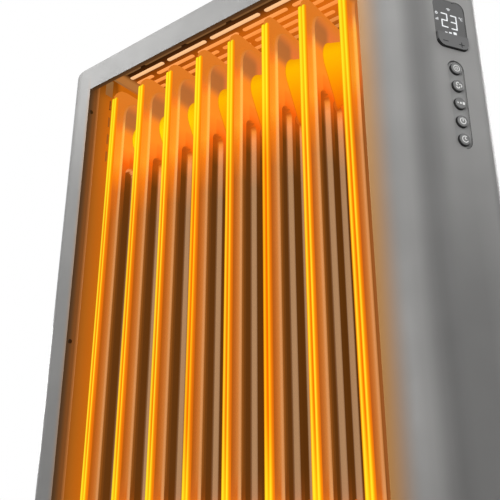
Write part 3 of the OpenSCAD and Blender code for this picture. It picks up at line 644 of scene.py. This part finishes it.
def paint_fin(y, z, pressed, later):
    """Painted glow of a fin's sheet: painted light beside the rolls and in the headers, painted highlights on the
    channels' edges, and painted shade between the channels.
    """
    across, high = np.abs(y), glow_height(z)
    high = high - later * smooth((218 - high) / 30)
    slope = smooth(4 * pressed * (1 - pressed) / 0.35)[..., None]
    outer = (across > OUTER_CHANNEL_Y)[..., None]
    # Below the header: painted light on the flange, painted highlights on the outer flank and the web's slopes, and
    # painted shade on the web
    flange = shade([(36, "cc7a31"), (41, "c76c26"), (43, "bb6613"), (45, "dd6f18"), (46.5, "fe8915"),
                    (50.6, "fe9010")], across)
    outer_flank = shade([(0, "cc7a31"), (0.4, "d1823d"), (0.75, "e0a066"), (0.93, "cc8a4e"), (1, "96581f")], pressed)
    web = shade([(0, "643910"), (17, "693c12"), (28, "6e4118"), (33.4, "7d4817"), (36, "96581f")], across)
    low = np.where(outer, np.where((across > 39)[..., None], flange, outer_flank),
                   web * (1 - slope) + np.array(hexa("b88f67")) * slope)
    # In the header: painted glow, with painted highlights on the crowns and painted shade in the recesses
    header_flange_glow = shade([(120, "cf7026"), (133, "d77123"), (153, "fe8b1a"), (173, "ffa62c"), (223, "fe9c2a"),
                        (233, "fc8829"), (243, "e4842e"), (251, "e48428"), (283, "ea8a30")], high)
    risen = high - np.where(across > 26, 0, 9) * (high < 200)
    face = shade([(120, "7c4415"), (133, "8b4b15"), (153, "bb5c15"), (163, "e06a18"), (173, "f86f12"), (183, "fe8724"),
                  (203, "fd9b2b"), (223, "fd982a"), (238, "f28a38"), (254, "e88440"), (272, "e68a30")], risen)
    # A painted greyish reflection near the top of the header
    grey_reflection = smooth((high - 226) / 12) * (1 - smooth((high - 252) / 16)) * smooth((across - 8) / 10)
    face = face + (np.array(hexa("b0733c")) - face) * (0.85 * grey_reflection)[..., None]
    edge = shade([(120, "dfa066"), (133, "e3a063"), (153, "fcac62"), (173, "fcbf58"), (223, "fcc256"), (233, "fcbb5e"),
                  (243, "e49048"), (255, "e08c40"), (283, "e48a3c")], high)
    inner_edge = shade([(120, "b88f67"), (133, "c09068"), (153, "e39b63"), (165, "fda561"), (176, "f8983c"),
                        (180, "cc6418"), (186, "c05a12")], high)
    floor = shade([(120, "6a3c12"), (150, "74410f"), (163, "8f4c10"), (173, "b85a10"), (186, "c45c12")], high)
    on_face = smooth((pressed - 0.75) / 0.2)[..., None]
    crown = (smooth((pressed - 0.35) / 0.3) * (1 - smooth((pressed - 0.93) / 0.07)))[..., None]
    outside = (1 - on_face) * header_flange_glow + on_face * face
    outside = outside * (1 - crown) + edge * crown
    # Recesses: painted shade on their floors and painted highlights on their slopes
    recess = ((across < OUTER_CHANNEL_Y) & (high < RECESS_TOP))[..., None]
    inside = floor * (1 - on_face) + face * on_face
    inside = inside * (1 - slope) + inner_edge * slope
    header_glow = np.where(recess, inside, outside)
    rise = smooth((high - 112) / 24)[..., None]
    return low * (1 - rise) + header_glow * rise


def even_out(paint, y, z):
    """Painted light on the last fin's outer side: evener and lighter than the painted shade on the sides of the others.
    """
    plain = shade([(120, "a26632"), (150, "a86a34"), (172, "cc7638"), (200, "de8442"), (235, "cc8040"),
                   (283, "aa6d39")], glow_height(z))
    return paint + (plain - paint) * 0.92 * smooth((37 - np.abs(y)) / 4)[..., None]


def paint_boss(out, z, place_x):
    """Painted glow of a header boss, yellower to the left, and painted shade in the darker ring at its foot."""
    body = shade([(172, "e86408"), (184, "f88006"), (193, "fe9606"), (203, "ffa604"), (215, "ffba06"),
                  (225, "ffc204"), (240, "ffb206")], np.abs(z))
    yellow = shade([(172, "fa9608"), (190, "ffd010"), (215, "ffe80c"), (240, "ffc808")], np.abs(z))
    left = np.interp(place_x, (-112, -84, -62, -30), (0.95, 0.8, 0.3, 0.0))
    body = body * (1 - left) + yellow * left
    ring = np.array(hexa("d2691a"))
    share = smooth((out - 0.6) / 1.0)
    return body * (1 - share) + ring * share


def teardrop(out):
    """Outline of a header boss, moved outwards or, where out is negative, drawn in."""
    points = 28
    big, small = BOSS_R + out, max(TAIL_R + out, 1.0)
    drop = TAIL_DROP + min(out, 0.0)
    lean = math.asin((big - small) / drop)
    top = np.linspace(-lean, math.pi + lean, points)
    tail = np.linspace(math.pi + lean, 2 * math.pi - lean, points // 2)
    return np.concatenate([
        np.stack([big * np.cos(top), big * np.sin(top)], 1),
        np.stack([small * np.cos(tail), small * np.sin(tail) - drop], 1)])


def make_fin(number, enamel):
    """One pressed steel fin: two sheets with raised headers and channels, and four teardrop bosses."""
    x0 = FIN_X0 + (number - 1) * FIN_PITCH
    columns, rows = fin_lines()
    n, m = len(columns), len(rows)
    corner = np.clip(np.abs(rows) - (FIN_HALF_Z - FIN_CORNER), 0, FIN_CORNER)
    reach = FIN_HALF_Y - (FIN_CORNER - np.sqrt(FIN_CORNER ** 2 - corner ** 2))
    # The sheet stops short between the two curls, so that a groove is left
    reach = np.where(np.abs(rows) < ROLL_HALF_Z - 1, np.minimum(reach, ROLL_Y), reach)
    y = columns[None, :] * (reach / FIN_HALF_Y)[:, None]
    z = np.repeat(rows[:, None], n, 1)
    height, pressed = fin_height(y, z)
    verts, faces, painted_glow = [], [], []
    for side in (1, -1):
        start = len(verts)
        verts.extend(np.stack([side * height, y, z], -1).reshape(-1, 3).tolist())
        # Painted glow, highlights and shade of the sheet
        paint = paint_fin(y, z, pressed, FIRST_LATER if number == 1 else 0)
        if number == FIN_COUNT and side > 0:
            paint = even_out(paint, y, z)
        painted_glow.extend(paint.reshape(-1, 3).tolist())
        faces.extend(grid_faces(m, n, side < 0, start=start))
    # Rim that joins the two sheets
    rim = list(range(n)) + [r * n + n - 1 for r in range(1, m)]
    rim += [(m - 1) * n + c for c in range(n - 2, -1, -1)] + [r * n for r in range(m - 2, 0, -1)]
    other = m * n
    for a, b in zip(rim, rim[1:] + rim[:1]):
        faces.append((b, a, a + other, b + other))
    # Rings of a boss, as growth of its outline and distance from the web. The outermost bosses are short
    rings = [(2.8, 4.4), (2.2, 5.5), (1.2, 6.05), (0.5, 6.8), (0.1, 7.8), (-0.2, 9.0), (-0.7, 11.5)]
    for side in (1, -1):
        outer = (number == 1 and side < 0) or (number == FIN_COUNT and side > 0)
        reach_x = OUTER_BOSS_X if outer else FIN_PITCH / 2 - 0.02
        profile = rings if outer else rings + [(-1.5, 14.5), (-2.6, 18.0)]
        profile = profile + [(profile[-1][0] - 1.2, reach_x - 0.3), (profile[-1][0] - 1.6, reach_x)]
        for end in (1, -1):
            start = len(verts)
            for out, x in profile:
                ring = teardrop(out)
                zz = end * (ring[:, 1] + BOSS_Z)
                verts.extend([(side * x, a, b) for a, b in zip(ring[:, 0], zz)])
                painted_glow.extend(paint_boss(out, zz, x0 + side * x).tolist())
            count = len(teardrop(0))
            flip = (side > 0) != (end > 0)
            faces.extend(grid_faces(len(profile), count, flip, True, start))
            last = start + (len(profile) - 1) * count
            cap = tuple(range(last, last + count))
            faces.append(cap[::-1] if flip else cap)
    points = (np.array(verts) + np.array([x0, 0, FIN_MID_Z])) * MM
    mesh = new_mesh("fin", points.tolist(), faces, enamel)
    # The painted glow, highlights and shade go to the glow paint attribute
    layer = mesh.attributes.new("glow paint", "FLOAT_COLOR", "POINT")
    rgba = np.concatenate([np.array(painted_glow), np.ones((len(painted_glow), 1))], 1).astype(np.float32)
    layer.data.foreach_set("color", rgba.ravel())
    smoothed(mesh, 50)
    place(link(f"fin_{number}_pressed", mesh), body_of_node["fin_1"], "fins", f"fin_{number}")


def make_roll_shape():
    """One rolled edge as a long bar with domed ends."""
    half = ROLL_HALF_Z
    stations = [(-half, 0.25), (-half + 0.3, 0.6), (-half + 0.9, 0.86), (-half + 1.9, 1.0), (-half + 90, 1.0),
                (0, 1.0), (half - 90, 1.0), (half - 1.9, 1.0), (half - 0.9, 0.86), (half - 0.3, 0.6), (half, 0.25)]
    count = 20
    verts = [(ROLL_WIDTH * share * c * MM, ROLL_R * share * s * MM, z * MM)
             for z, share in stations for c, s in circle_points(count)]
    faces = grid_faces(len(stations), count, closed=True)
    faces.append(tuple(range(count))[::-1])
    faces.append(tuple(range((len(stations) - 1) * count, len(stations) * count)))
    return link("roll", new_mesh("roll", verts, faces))


# Geometry node trees

def start_tree(name, *sizes):
    tree = bpy.data.node_groups.new(name, "GeometryNodeTree")
    for kind, label in sizes:
        tree.interface.new_socket(label, in_out="INPUT", socket_type=kind)
    tree.interface.new_socket("Geometry", in_out="OUTPUT", socket_type="NodeSocketGeometry")
    return tree, tree.nodes.new("NodeGroupInput").outputs


def end_tree(tree, geometry, finish):
    real = made(tree, "GeometryNodeRealizeInstances", {0: geometry})
    painted = made(tree, "GeometryNodeSetMaterial", {"Geometry": real, "Material": finish})
    tree.links.new(painted, tree.nodes.new("NodeGroupOutput").inputs[0])
    return tree


def run_tree(tree, name, values, finish):
    """Runs a tree on an empty mesh and returns the plain mesh piece that it makes."""
    carrier = link(name + "_raw", bpy.data.meshes.new(name))
    modifier = carrier.modifiers.new("made", "NODES")
    modifier.node_group = tree
    for item in tree.interface.items_tree:
        if item.item_type == "SOCKET" and item.in_out == "INPUT":
            modifier[item.identifier] = values[item.name]
    return finished(carrier, name, finish, 40)


def row_tree(name, shape, finish):
    """A row of one shape, count times, a step apart, and a second row beside it."""
    tree, given = start_tree(
        name, ("NodeSocketInt", "Count"), ("NodeSocketVector", "Start"), ("NodeSocketVector", "Step"),
        ("NodeSocketInt", "Rows"), ("NodeSocketVector", "Row step"))
    line = made(tree, "GeometryNodeMeshLine", {
        "Count": given["Count"], "Start Location": given["Start"], "Offset": given["Step"]})
    across = made(tree, "GeometryNodeMeshLine", {"Count": given["Rows"], "Offset": given["Row step"]})
    one = made(tree, "GeometryNodeObjectInfo", {"Object": shape}, "Geometry")
    pair = made(tree, "GeometryNodeInstanceOnPoints", {"Points": across, "Instance": one})
    row = made(tree, "GeometryNodeInstanceOnPoints", {"Points": line, "Instance": pair})
    return end_tree(tree, row, finish)


def ring_tree(name, shape, finish):
    """A shape repeated on a circle round the Y axis."""
    tree, given = start_tree(
        name, ("NodeSocketInt", "Count"), ("NodeSocketFloat", "Radius"), ("NodeSocketVector", "Centre"))
    circle = made(tree, "GeometryNodeMeshCircle", {"Vertices": given["Count"], "Radius": given["Radius"]}, "Mesh")
    index = made(tree, "GeometryNodeInputIndex", {})
    share = made(tree, "ShaderNodeMath", {0: index, 1: given["Count"]}, operation="DIVIDE")
    turn = made(tree, "ShaderNodeMath", {0: share, 1: 2 * math.pi}, operation="MULTIPLY")
    one = made(tree, "GeometryNodeObjectInfo", {"Object": shape}, "Geometry")
    ring = made(tree, "GeometryNodeInstanceOnPoints", {
        "Points": circle, "Instance": one, "Rotation": made(tree, "ShaderNodeCombineXYZ", {"Z": turn})})
    real = made(tree, "GeometryNodeRealizeInstances", {0: ring})
    upright = made(tree, "GeometryNodeTransform", {"Geometry": real, "Rotation": (math.pi / 2, 0, 0)})
    moved = made(tree, "GeometryNodeTransform", {"Geometry": upright, "Translation": given["Centre"]})
    return end_tree(tree, moved, finish)


def make_hems(glow):
    """The glowing rolled edges of all eight fins, front and rear."""
    roll = make_roll_shape()
    tree = row_tree("rolled edges", roll, glow)
    for name, y in (("front_rolls", -ROLL_Y), ("rear_rolls", ROLL_Y)):
        piece = run_tree(tree, name, {
            "Count": FIN_COUNT, "Start": ((FIN_X0 - ROLL_WIDTH) * MM, y * MM, FIN_MID_Z * MM),
            "Step": (FIN_PITCH * MM, 0, 0), "Rows": 2, "Row step": (2 * ROLL_WIDTH * MM, 0, 0)}, glow)
        place(piece, body_of_node["fin_1"], "fins")
    bpy.data.objects.remove(roll)


# Control panel

def panel_point(s, inward, z):
    """A place on the slanted panel: s along it, inward from its face, and the height."""
    return Vector((PANEL_MID[0] + s * PANEL_ALONG[0] + inward * PANEL_IN[0],
                   PANEL_MID[1] + s * PANEL_ALONG[1] + inward * PANEL_IN[1], z)) * MM


def arc_points(cx, cz, r, start, end, count=14):
    turns = [math.radians(start + (end - start) * k / count) for k in range(count + 1)]
    return [(cx + r * math.cos(a), cz + r * math.sin(a)) for a in turns]


def bar_outline(a, b, width):
    """Outline of a straight stroke with round ends."""
    (x0, z0), (x1, z1) = a, b
    turn = math.degrees(math.atan2(z1 - z0, x1 - x0))
    return (arc_points(x1, z1, width / 2, turn - 90, turn + 90, 6)
            + arc_points(x0, z0, width / 2, turn + 90, turn + 270, 6))


def box_outline(x0, z0, x1, z1):
    return [(x0, z0), (x1, z0), (x1, z1), (x0, z1)]


def strokes(path, width):
    return [bar_outline(a, b, width) for a, b in zip(path, path[1:])]


def printed(name, outlines, face, finish, body, slot, thick=0.06):
    """Thin marks on the panel, standing just proud of the face that carries them."""
    shape = bmesh.new()
    for outline in outlines:
        front = [shape.verts.new(panel_point(s, face - thick, z)) for s, z in outline]
        rear = [shape.verts.new(panel_point(s, face + 0.02, z)) for s, z in outline]
        shape.faces.new(front)
        shape.faces.new(rear[::-1])
        for k in range(len(outline)):
            n = (k + 1) % len(outline)
            shape.faces.new((front[n], front[k], rear[k], rear[n]))
    bmesh.ops.recalc_face_normals(shape, faces=shape.faces)
    mesh = bpy.data.meshes.new(name)
    shape.to_mesh(mesh)
    shape.free()
    mesh.materials.append(finish)
    place(link(name, mesh), body, slot)


def digit_strokes(digit, left, bottom, width, height):
    """Segments of a display digit with rounded joins."""
    line = 1.15
    right, mid, top = left + width, bottom + height / 2, bottom + height
    a, b, c = (left, top), (right, top), (right, mid)
    d, e, f = (right, bottom), (left, bottom), (left, mid)
    paths = {"2": [a, b, c, f, e, d], "3": [a, b, c, d, e]}
    found = strokes(paths[digit], line)
    if digit == "3":
        found += strokes([f, c], line)
    return found


def make_display(white, black):
    """The display with its number and symbols, a painted shade line along the gap round it, and the minus and plus key
    below, with painted shade on its sides.
    """
    softened("display_lens", 0.25, display_finish(), 2)
    marks = digit_strokes("2", -7.9, 561.2, 5.4, 13.3) + digit_strokes("3", 1.5, 560.8, 5.2, 13.3)
    # Signal, mode marks, unit and level bars
    for r in (0.7, 1.7, 2.7):
        marks += strokes(arc_points(-0.2, 578.2, r, 50, 130, 6), 0.5)
    marks += strokes(arc_points(-12.8, 573.4, 1.1, 0, 360, 12), 0.5) + strokes([(-12.8, 573.2), (-12.8, 575.0)], 0.5)
    for k, x in enumerate((-13.8, -12.8, -11.8)):
        marks += strokes([(x, 566.4), (x, 567.4 + 0.7 * k)], 0.55)
    marks += strokes(arc_points(10.4, 574.2, 0.55, 0, 360, 10), 0.35)
    marks += strokes(arc_points(12.5, 573.0, 1.15, 50, 310, 10), 0.45)
    marks += [box_outline(-6.1, 554.0, -3.7, 556.0), box_outline(-2.1, 553.7, 0.7, 556.7),
              box_outline(2.4, 553.3, 5.6, 557.7)]
    body = body_of_node["display_lens"]
    printed("display_marks", marks, 0.15, white, body, "display")
    # Painted shade: a dark line along the gap between the display's far edge and the casing
    half_w, r = 15.5, 7.0
    corner = half_w - r
    edge = arc_points(corner, DISPLAY_Z[1] - r, r + 0.2, 130, 0) + arc_points(corner, DISPLAY_Z[0] + r, r + 0.2, 0, -75)
    printed("display_gap", strokes(edge, 0.55), 0.0, black, body, "display", 0.04)
    key_plastic = moulded("key plastic", (0.175, 0.175, 0.175), 0.38, grain=0.01, scale=2200.0).mat
    key = softened("temperature_key", 0.5, key_plastic, 3)
    # Painted shade: the key's side faces below its top are black
    paint_faces(key, black, lambda at, normal: at.z < KEY_TOP_Z and abs(normal.dot(Vector((*PANEL_IN, 0)))) < 0.62)
    marks = strokes([(-10.6, 544.7), (-5.9, 544.7)], 0.75)
    marks += strokes([(5.2, 544.4), (9.9, 544.4)], 0.75) + strokes([(7.55, 542.2), (7.55, 546.6)], 0.75)
    printed("key_marks", marks, -KEY_RISE, black, "temperature_key", "keys")


def make_strip(black):
    """The recessed strip of the buttons, with a painted shade line where its far wall meets the casing."""
    finish = moulded("strip plastic", (0.40, 0.40, 0.395), 0.5, grain=0.012, scale=2200.0).mat
    softened("button_strip", 0.2, finish)
    heights = BUTTONS.values()
    # A painted shade line along the strip's far wall
    edge = arc_points(0, max(heights), STRIP_R, 165, 0) + arc_points(0, min(heights), STRIP_R, 0, -80)
    printed("strip_gap", strokes(edge, 0.4), 0.0, black, body_of_node["button_strip"], "strip", 0.04)


def button_marks(name, z):
    """Outlines of a button's picture: ring, turning air, level dots, power or clock."""
    def arc(r, start, end, count, width, cx=0, cz=0):
        return strokes(arc_points(cx, z + cz, r, start, end, count), width)

    if name == "ring_button":
        return arc(2.8, 0, 360, 24, 0.6) + arc(1.1, 0, 360, 12, 0.4)
    if name == "swing_button":
        return [outline for a in (0, 120, 240) for outline in arc(
            1.4, a - 60, a + 120, 8, 0.8, 1.5 * math.cos(math.radians(a)), 1.5 * math.sin(math.radians(a)))]
    if name == "level_button":
        return [box_outline(-3.4, z - 0.6, -2.2, z + 0.5), box_outline(-0.9, z - 0.8, 0.7, z + 0.8),
                box_outline(1.7, z - 1.2, 3.7, z + 1.3)]
    if name == "power_button":
        return arc(2.6, 125, 415, 22, 0.75) + strokes([(0, z - 0.2), (0, z + 2.7)], 0.8)
    return arc(2.7, 60, 330, 22, 0.75) + strokes([(0, z + 1.6), (0, z), (1.3, z)], 0.7)


def make_buttons(mark):
    """Each button is a grey dished cap on a black skirt, with a light mark on it."""
    cap = moulded("button cap", (0.215, 0.215, 0.213), 0.42, grain=0.012, scale=2200.0).mat
    skirt = rubber_finish("button skirt", (0.012, 0.012, 0.012))
    r, rise, back, count = 5.25, BUTTON_RISE, 4.9, 48
    profile = [(2.2, 0.2 - rise), (3.6, 0.12 - rise), (4.35, -rise), (4.75, 0.05 - rise), (5.0, 0.22 - rise),
               (5.1, 0.5 - rise), (r, 0.9 - rise), (r, back - 0.9), (r + 1, back - 0.9), (r + 1, back)]
    for name, z in BUTTONS.items():
        verts = [panel_point(radius * c, inward, z + radius * s)
                 for radius, inward in profile for c, s in circle_points(count)]
        verts += [panel_point(0, 0.22 - rise, z), panel_point(0, back, z)]
        faces = grid_faces(len(profile), count, flip=True, closed=True)
        front, rear = len(profile) * count, len(profile) * count + 1
        last = (len(profile) - 1) * count
        faces += [(k, (k + 1) % count, front) for k in range(count)]
        faces += [(last + (k + 1) % count, last + k, rear) for k in range(count)]
        mesh = new_mesh(name, verts, faces, cap, skirt)
        face_outwards(mesh)
        for face in mesh.polygons:
            inward = (face.center - panel_point(0, 0, z)).dot(Vector((*PANEL_IN, 0)))
            face.material_index = 1 if inward > (0.5 - rise) * MM else 0
        smoothed(mesh, 60)
        place(link(name + "_cap", mesh), name, "buttons", name)
        printed(name + "_mark", button_marks(name, z), 0.16 - rise, mark, name, "buttons")


# Casters, screws and the rest

def lathe_y(name, profile, centre, count):
    """A turned shape round an axis along Y from (radius, y) pairs."""
    verts = [((centre[0] + radius * c) * MM, (centre[1] + y) * MM, (centre[2] + radius * s) * MM)
             for radius, y in profile for c, s in circle_points(count)]
    faces = grid_faces(len(profile), count, closed=True)
    loop = len(profile) - 1
    faces += [(loop * count + k, loop * count + (k + 1) % count, (k + 1) % count, k) for k in range(count)]
    mesh = new_mesh(name, verts, faces)
    face_outwards(mesh)
    return link(name, mesh)


def caster_axle(number):
    """Middle of a caster's axle, which trails its swivel."""
    x = (-SWIVEL_X if number % 2 else SWIVEL_X) - CASTER_TRAIL
    return x, (-SWIVEL_Y if number <= 2 else SWIVEL_Y), WHEEL_R


def make_wheels(tyre, hub):
    """Each wheel has a turned tyre and hub, and a row of fine tread ribs."""
    rib_w, rib_h, rib_l = 0.5, 0.45, 4.4
    corners = [(a, b, c) for a in (-1, 0.999) for b in (-1, 1) for c in (-1, 1)]
    verts = [(a * rib_h * MM, b * rib_w * MM * (1.0 if a < 0 else 0.7), c * rib_l * MM) for a, b, c in corners]
    faces = [(0, 1, 3, 2), (4, 6, 7, 5), (0, 4, 5, 1), (2, 3, 7, 6), (0, 2, 6, 4), (1, 5, 7, 3)]
    block = link("tread", new_mesh("tread", verts, faces))
    tree = ring_tree("tread ribs", block, tyre)
    half, r = 7.0, 21.55
    half_tyre = [(r, half - 2.9), (21.3, half - 1.7), (20.6, half - 0.7), (19.6, half - 0.1), (18.4, half),
                 (17.0, half - 0.1), (16.2, half - 0.8), (15.8, half - 2.2)]
    # From the tyre's inner edge at one side, over the tread, to the other side
    tyre_profile = [(a, -b) for a, b in half_tyre[-2::-1]] + half_tyre + [(half_tyre[-1][0], -half_tyre[-1][1])]
    half_hub = [(15.85, half - 1.6), (15.0, half - 2.0), (9.6, half - 2.0), (8.8, half - 1.6), (8.2, half - 0.4),
                (7.6, half), (3.06, half)]
    hub_profile = [(a, -b) for a, b in reversed(half_hub)] + half_hub
    for number in range(1, 5):
        centre, body = caster_axle(number), f"caster_wheel_{number}"
        wheel = finished(lathe_y("tyre", tyre_profile, centre, 96), f"wheel_{number}_tyre", tyre, 50)
        place(wheel, body, "wheels", f"wheel_{number}")
        place(finished(lathe_y("hub", hub_profile, centre, 72), f"wheel_{number}_hub", hub, 50), body, "wheels")
        ribs = run_tree(tree, f"wheel_{number}_tread", {
            "Count": 54, "Radius": (WHEEL_R - rib_h) * MM, "Centre": tuple(v * MM for v in centre)}, tyre)
        place(ribs, body, "wheels")
    bpy.data.objects.remove(block)


def main():
    white = lit_finish("display light", "f4f6f8")
    # Black for print, and for the lines and sides of painted shade
    black = rubber_finish("black print and painted shade", (0.01, 0.01, 0.01))
    # The buttons' light print shines by itself as a painted glow
    pale = lit_finish("button print", "e2e2e0")
    enamel = fin_finish()
    for number in range(1, FIN_COUNT + 1):
        make_fin(number, enamel)
    make_hems(hem_finish())
    casing = casing_finish()
    inside = inner_finish()
    paint_faces(softened("front_shell", 0.7, casing, 3), inside, inside_casing)
    paint_faces(softened("rear_shell", 0.7, casing, 3), inside, inside_casing)
    softened("service_cover", 0.5, casing)
    grille = softened("top_grille", 0.25, enamelled("grille enamel", (0.33, 0.327, 0.32), 0.48).mat, 1)
    paint_faces(grille, lit_bars_finish(), lambda at, normal: at.z < GRILLE_UNDER_Z and normal.z < -0.4)
    paint_faces(grille, slot_wall_finish(), lambda at, normal: at.z < GRILLE_FACE_Z and abs(normal.z) <= 0.4)
    liner = liner_finish()
    softened("left_liner", 0.4, liner)
    softened("tower_liner", 0.3, liner)
    make_display(white, black)
    make_strip(black)
    make_buttons(pale)
    black_plastic = moulded("black plastic", (0.032, 0.032, 0.034), 0.5, grain=0.03, scale=1300.0).mat
    feet = moulded("foot plastic", (0.055, 0.055, 0.056), 0.55, grain=0.04, scale=1100.0).mat
    forks = moulded("fork plastic", (0.06, 0.06, 0.061), 0.48, grain=0.02, scale=1300.0).mat
    zinc = worked_metal("zinc plate", (0.55, 0.55, 0.56), 0.42, (1, 1, 8), 160.0).mat
    screw = worked_metal("screw steel", (0.35, 0.35, 0.36), 0.36, (1, 1, 1), 900.0).mat
    brass = worked_metal("brass", (0.78, 0.60, 0.30), 0.3, (6, 1, 1), 260.0).mat
    rod = worked_metal("drawn tube", (0.60, 0.60, 0.60), 0.32, (0.2, 4, 4), 400.0).mat
    axle = worked_metal("turned steel", (0.60, 0.60, 0.61), 0.28, (1, 9, 1), 420.0).mat
    ivory = moulded("pale plastic", (0.62, 0.60, 0.52), 0.5).mat
    # The end caps have a painted orange glow
    cap_enamel_glow = enamelled("cap enamel", hexa("a0602c"), 0.4).glow(hexa("c0560c", 0.8)).mat
    board = board_finish()
    softened("left_foot_bar", 1.2, feet, 3)
    softened("right_foot_bar", 1.2, feet, 3)
    for number in range(1, 5):
        softened(f"fork_{number}", 0.5, forks)
        softened(f"axle_{number}", 0.3, axle)
    softened("grip_cup", 0.5, black_plastic)
    softened("cord_gland", 0.5, black_plastic)
    softened("left_saddle", 0.5, zinc)
    softened("right_saddle", 0.5, zinc)
    softened("shell_screws", 0.15, screw, 1)
    softened("liner_screws", 0.2, worked_metal("blackened screw", (0.06, 0.045, 0.03), 0.4, (1, 1, 1), 900.0).mat, 1)
    softened("foot_screws", 0.3, screw, 1)
    softened("filler_plug", 0.4, brass)
    softened("element_flange", 0.4, brass)
    make_wheels(rubber_finish("tyre rubber", (0.026, 0.026, 0.027)), forks)
    plain = {
        "base_tray": zinc, "end_caps": cap_enamel_glow, "heating_element": rod, "thermal_cutout": black_plastic,
        "panel_carrier": black_plastic, "display_board": board, "switch_board": board, "power_board": board,
        "terminal_block": ivory, "tip_switch": ivory, "room_sensor": black_plastic,
    }
    for node, finish in plain.items():
        mesh = frame["nodes"][node].data
        mesh.materials.clear()
        mesh.materials.append(finish)


make_camera()
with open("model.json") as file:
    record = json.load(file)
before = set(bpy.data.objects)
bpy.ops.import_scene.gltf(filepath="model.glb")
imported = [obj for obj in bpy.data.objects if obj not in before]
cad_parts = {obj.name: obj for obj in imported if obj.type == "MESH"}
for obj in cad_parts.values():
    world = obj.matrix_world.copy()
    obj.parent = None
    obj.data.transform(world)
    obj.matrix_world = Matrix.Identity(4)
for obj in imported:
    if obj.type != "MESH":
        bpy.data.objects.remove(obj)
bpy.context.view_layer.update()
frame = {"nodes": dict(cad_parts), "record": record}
record = frame["record"]
body_of_node = {node: body for body, nodes in record["behaviour"]["bodies"].items() for node in nodes}
slot_of_node = {part["node"]: part["material_slot"] for part in record["subparts"]}
SCENE.view_settings.view_transform = "Standard"
make_studio()
main()
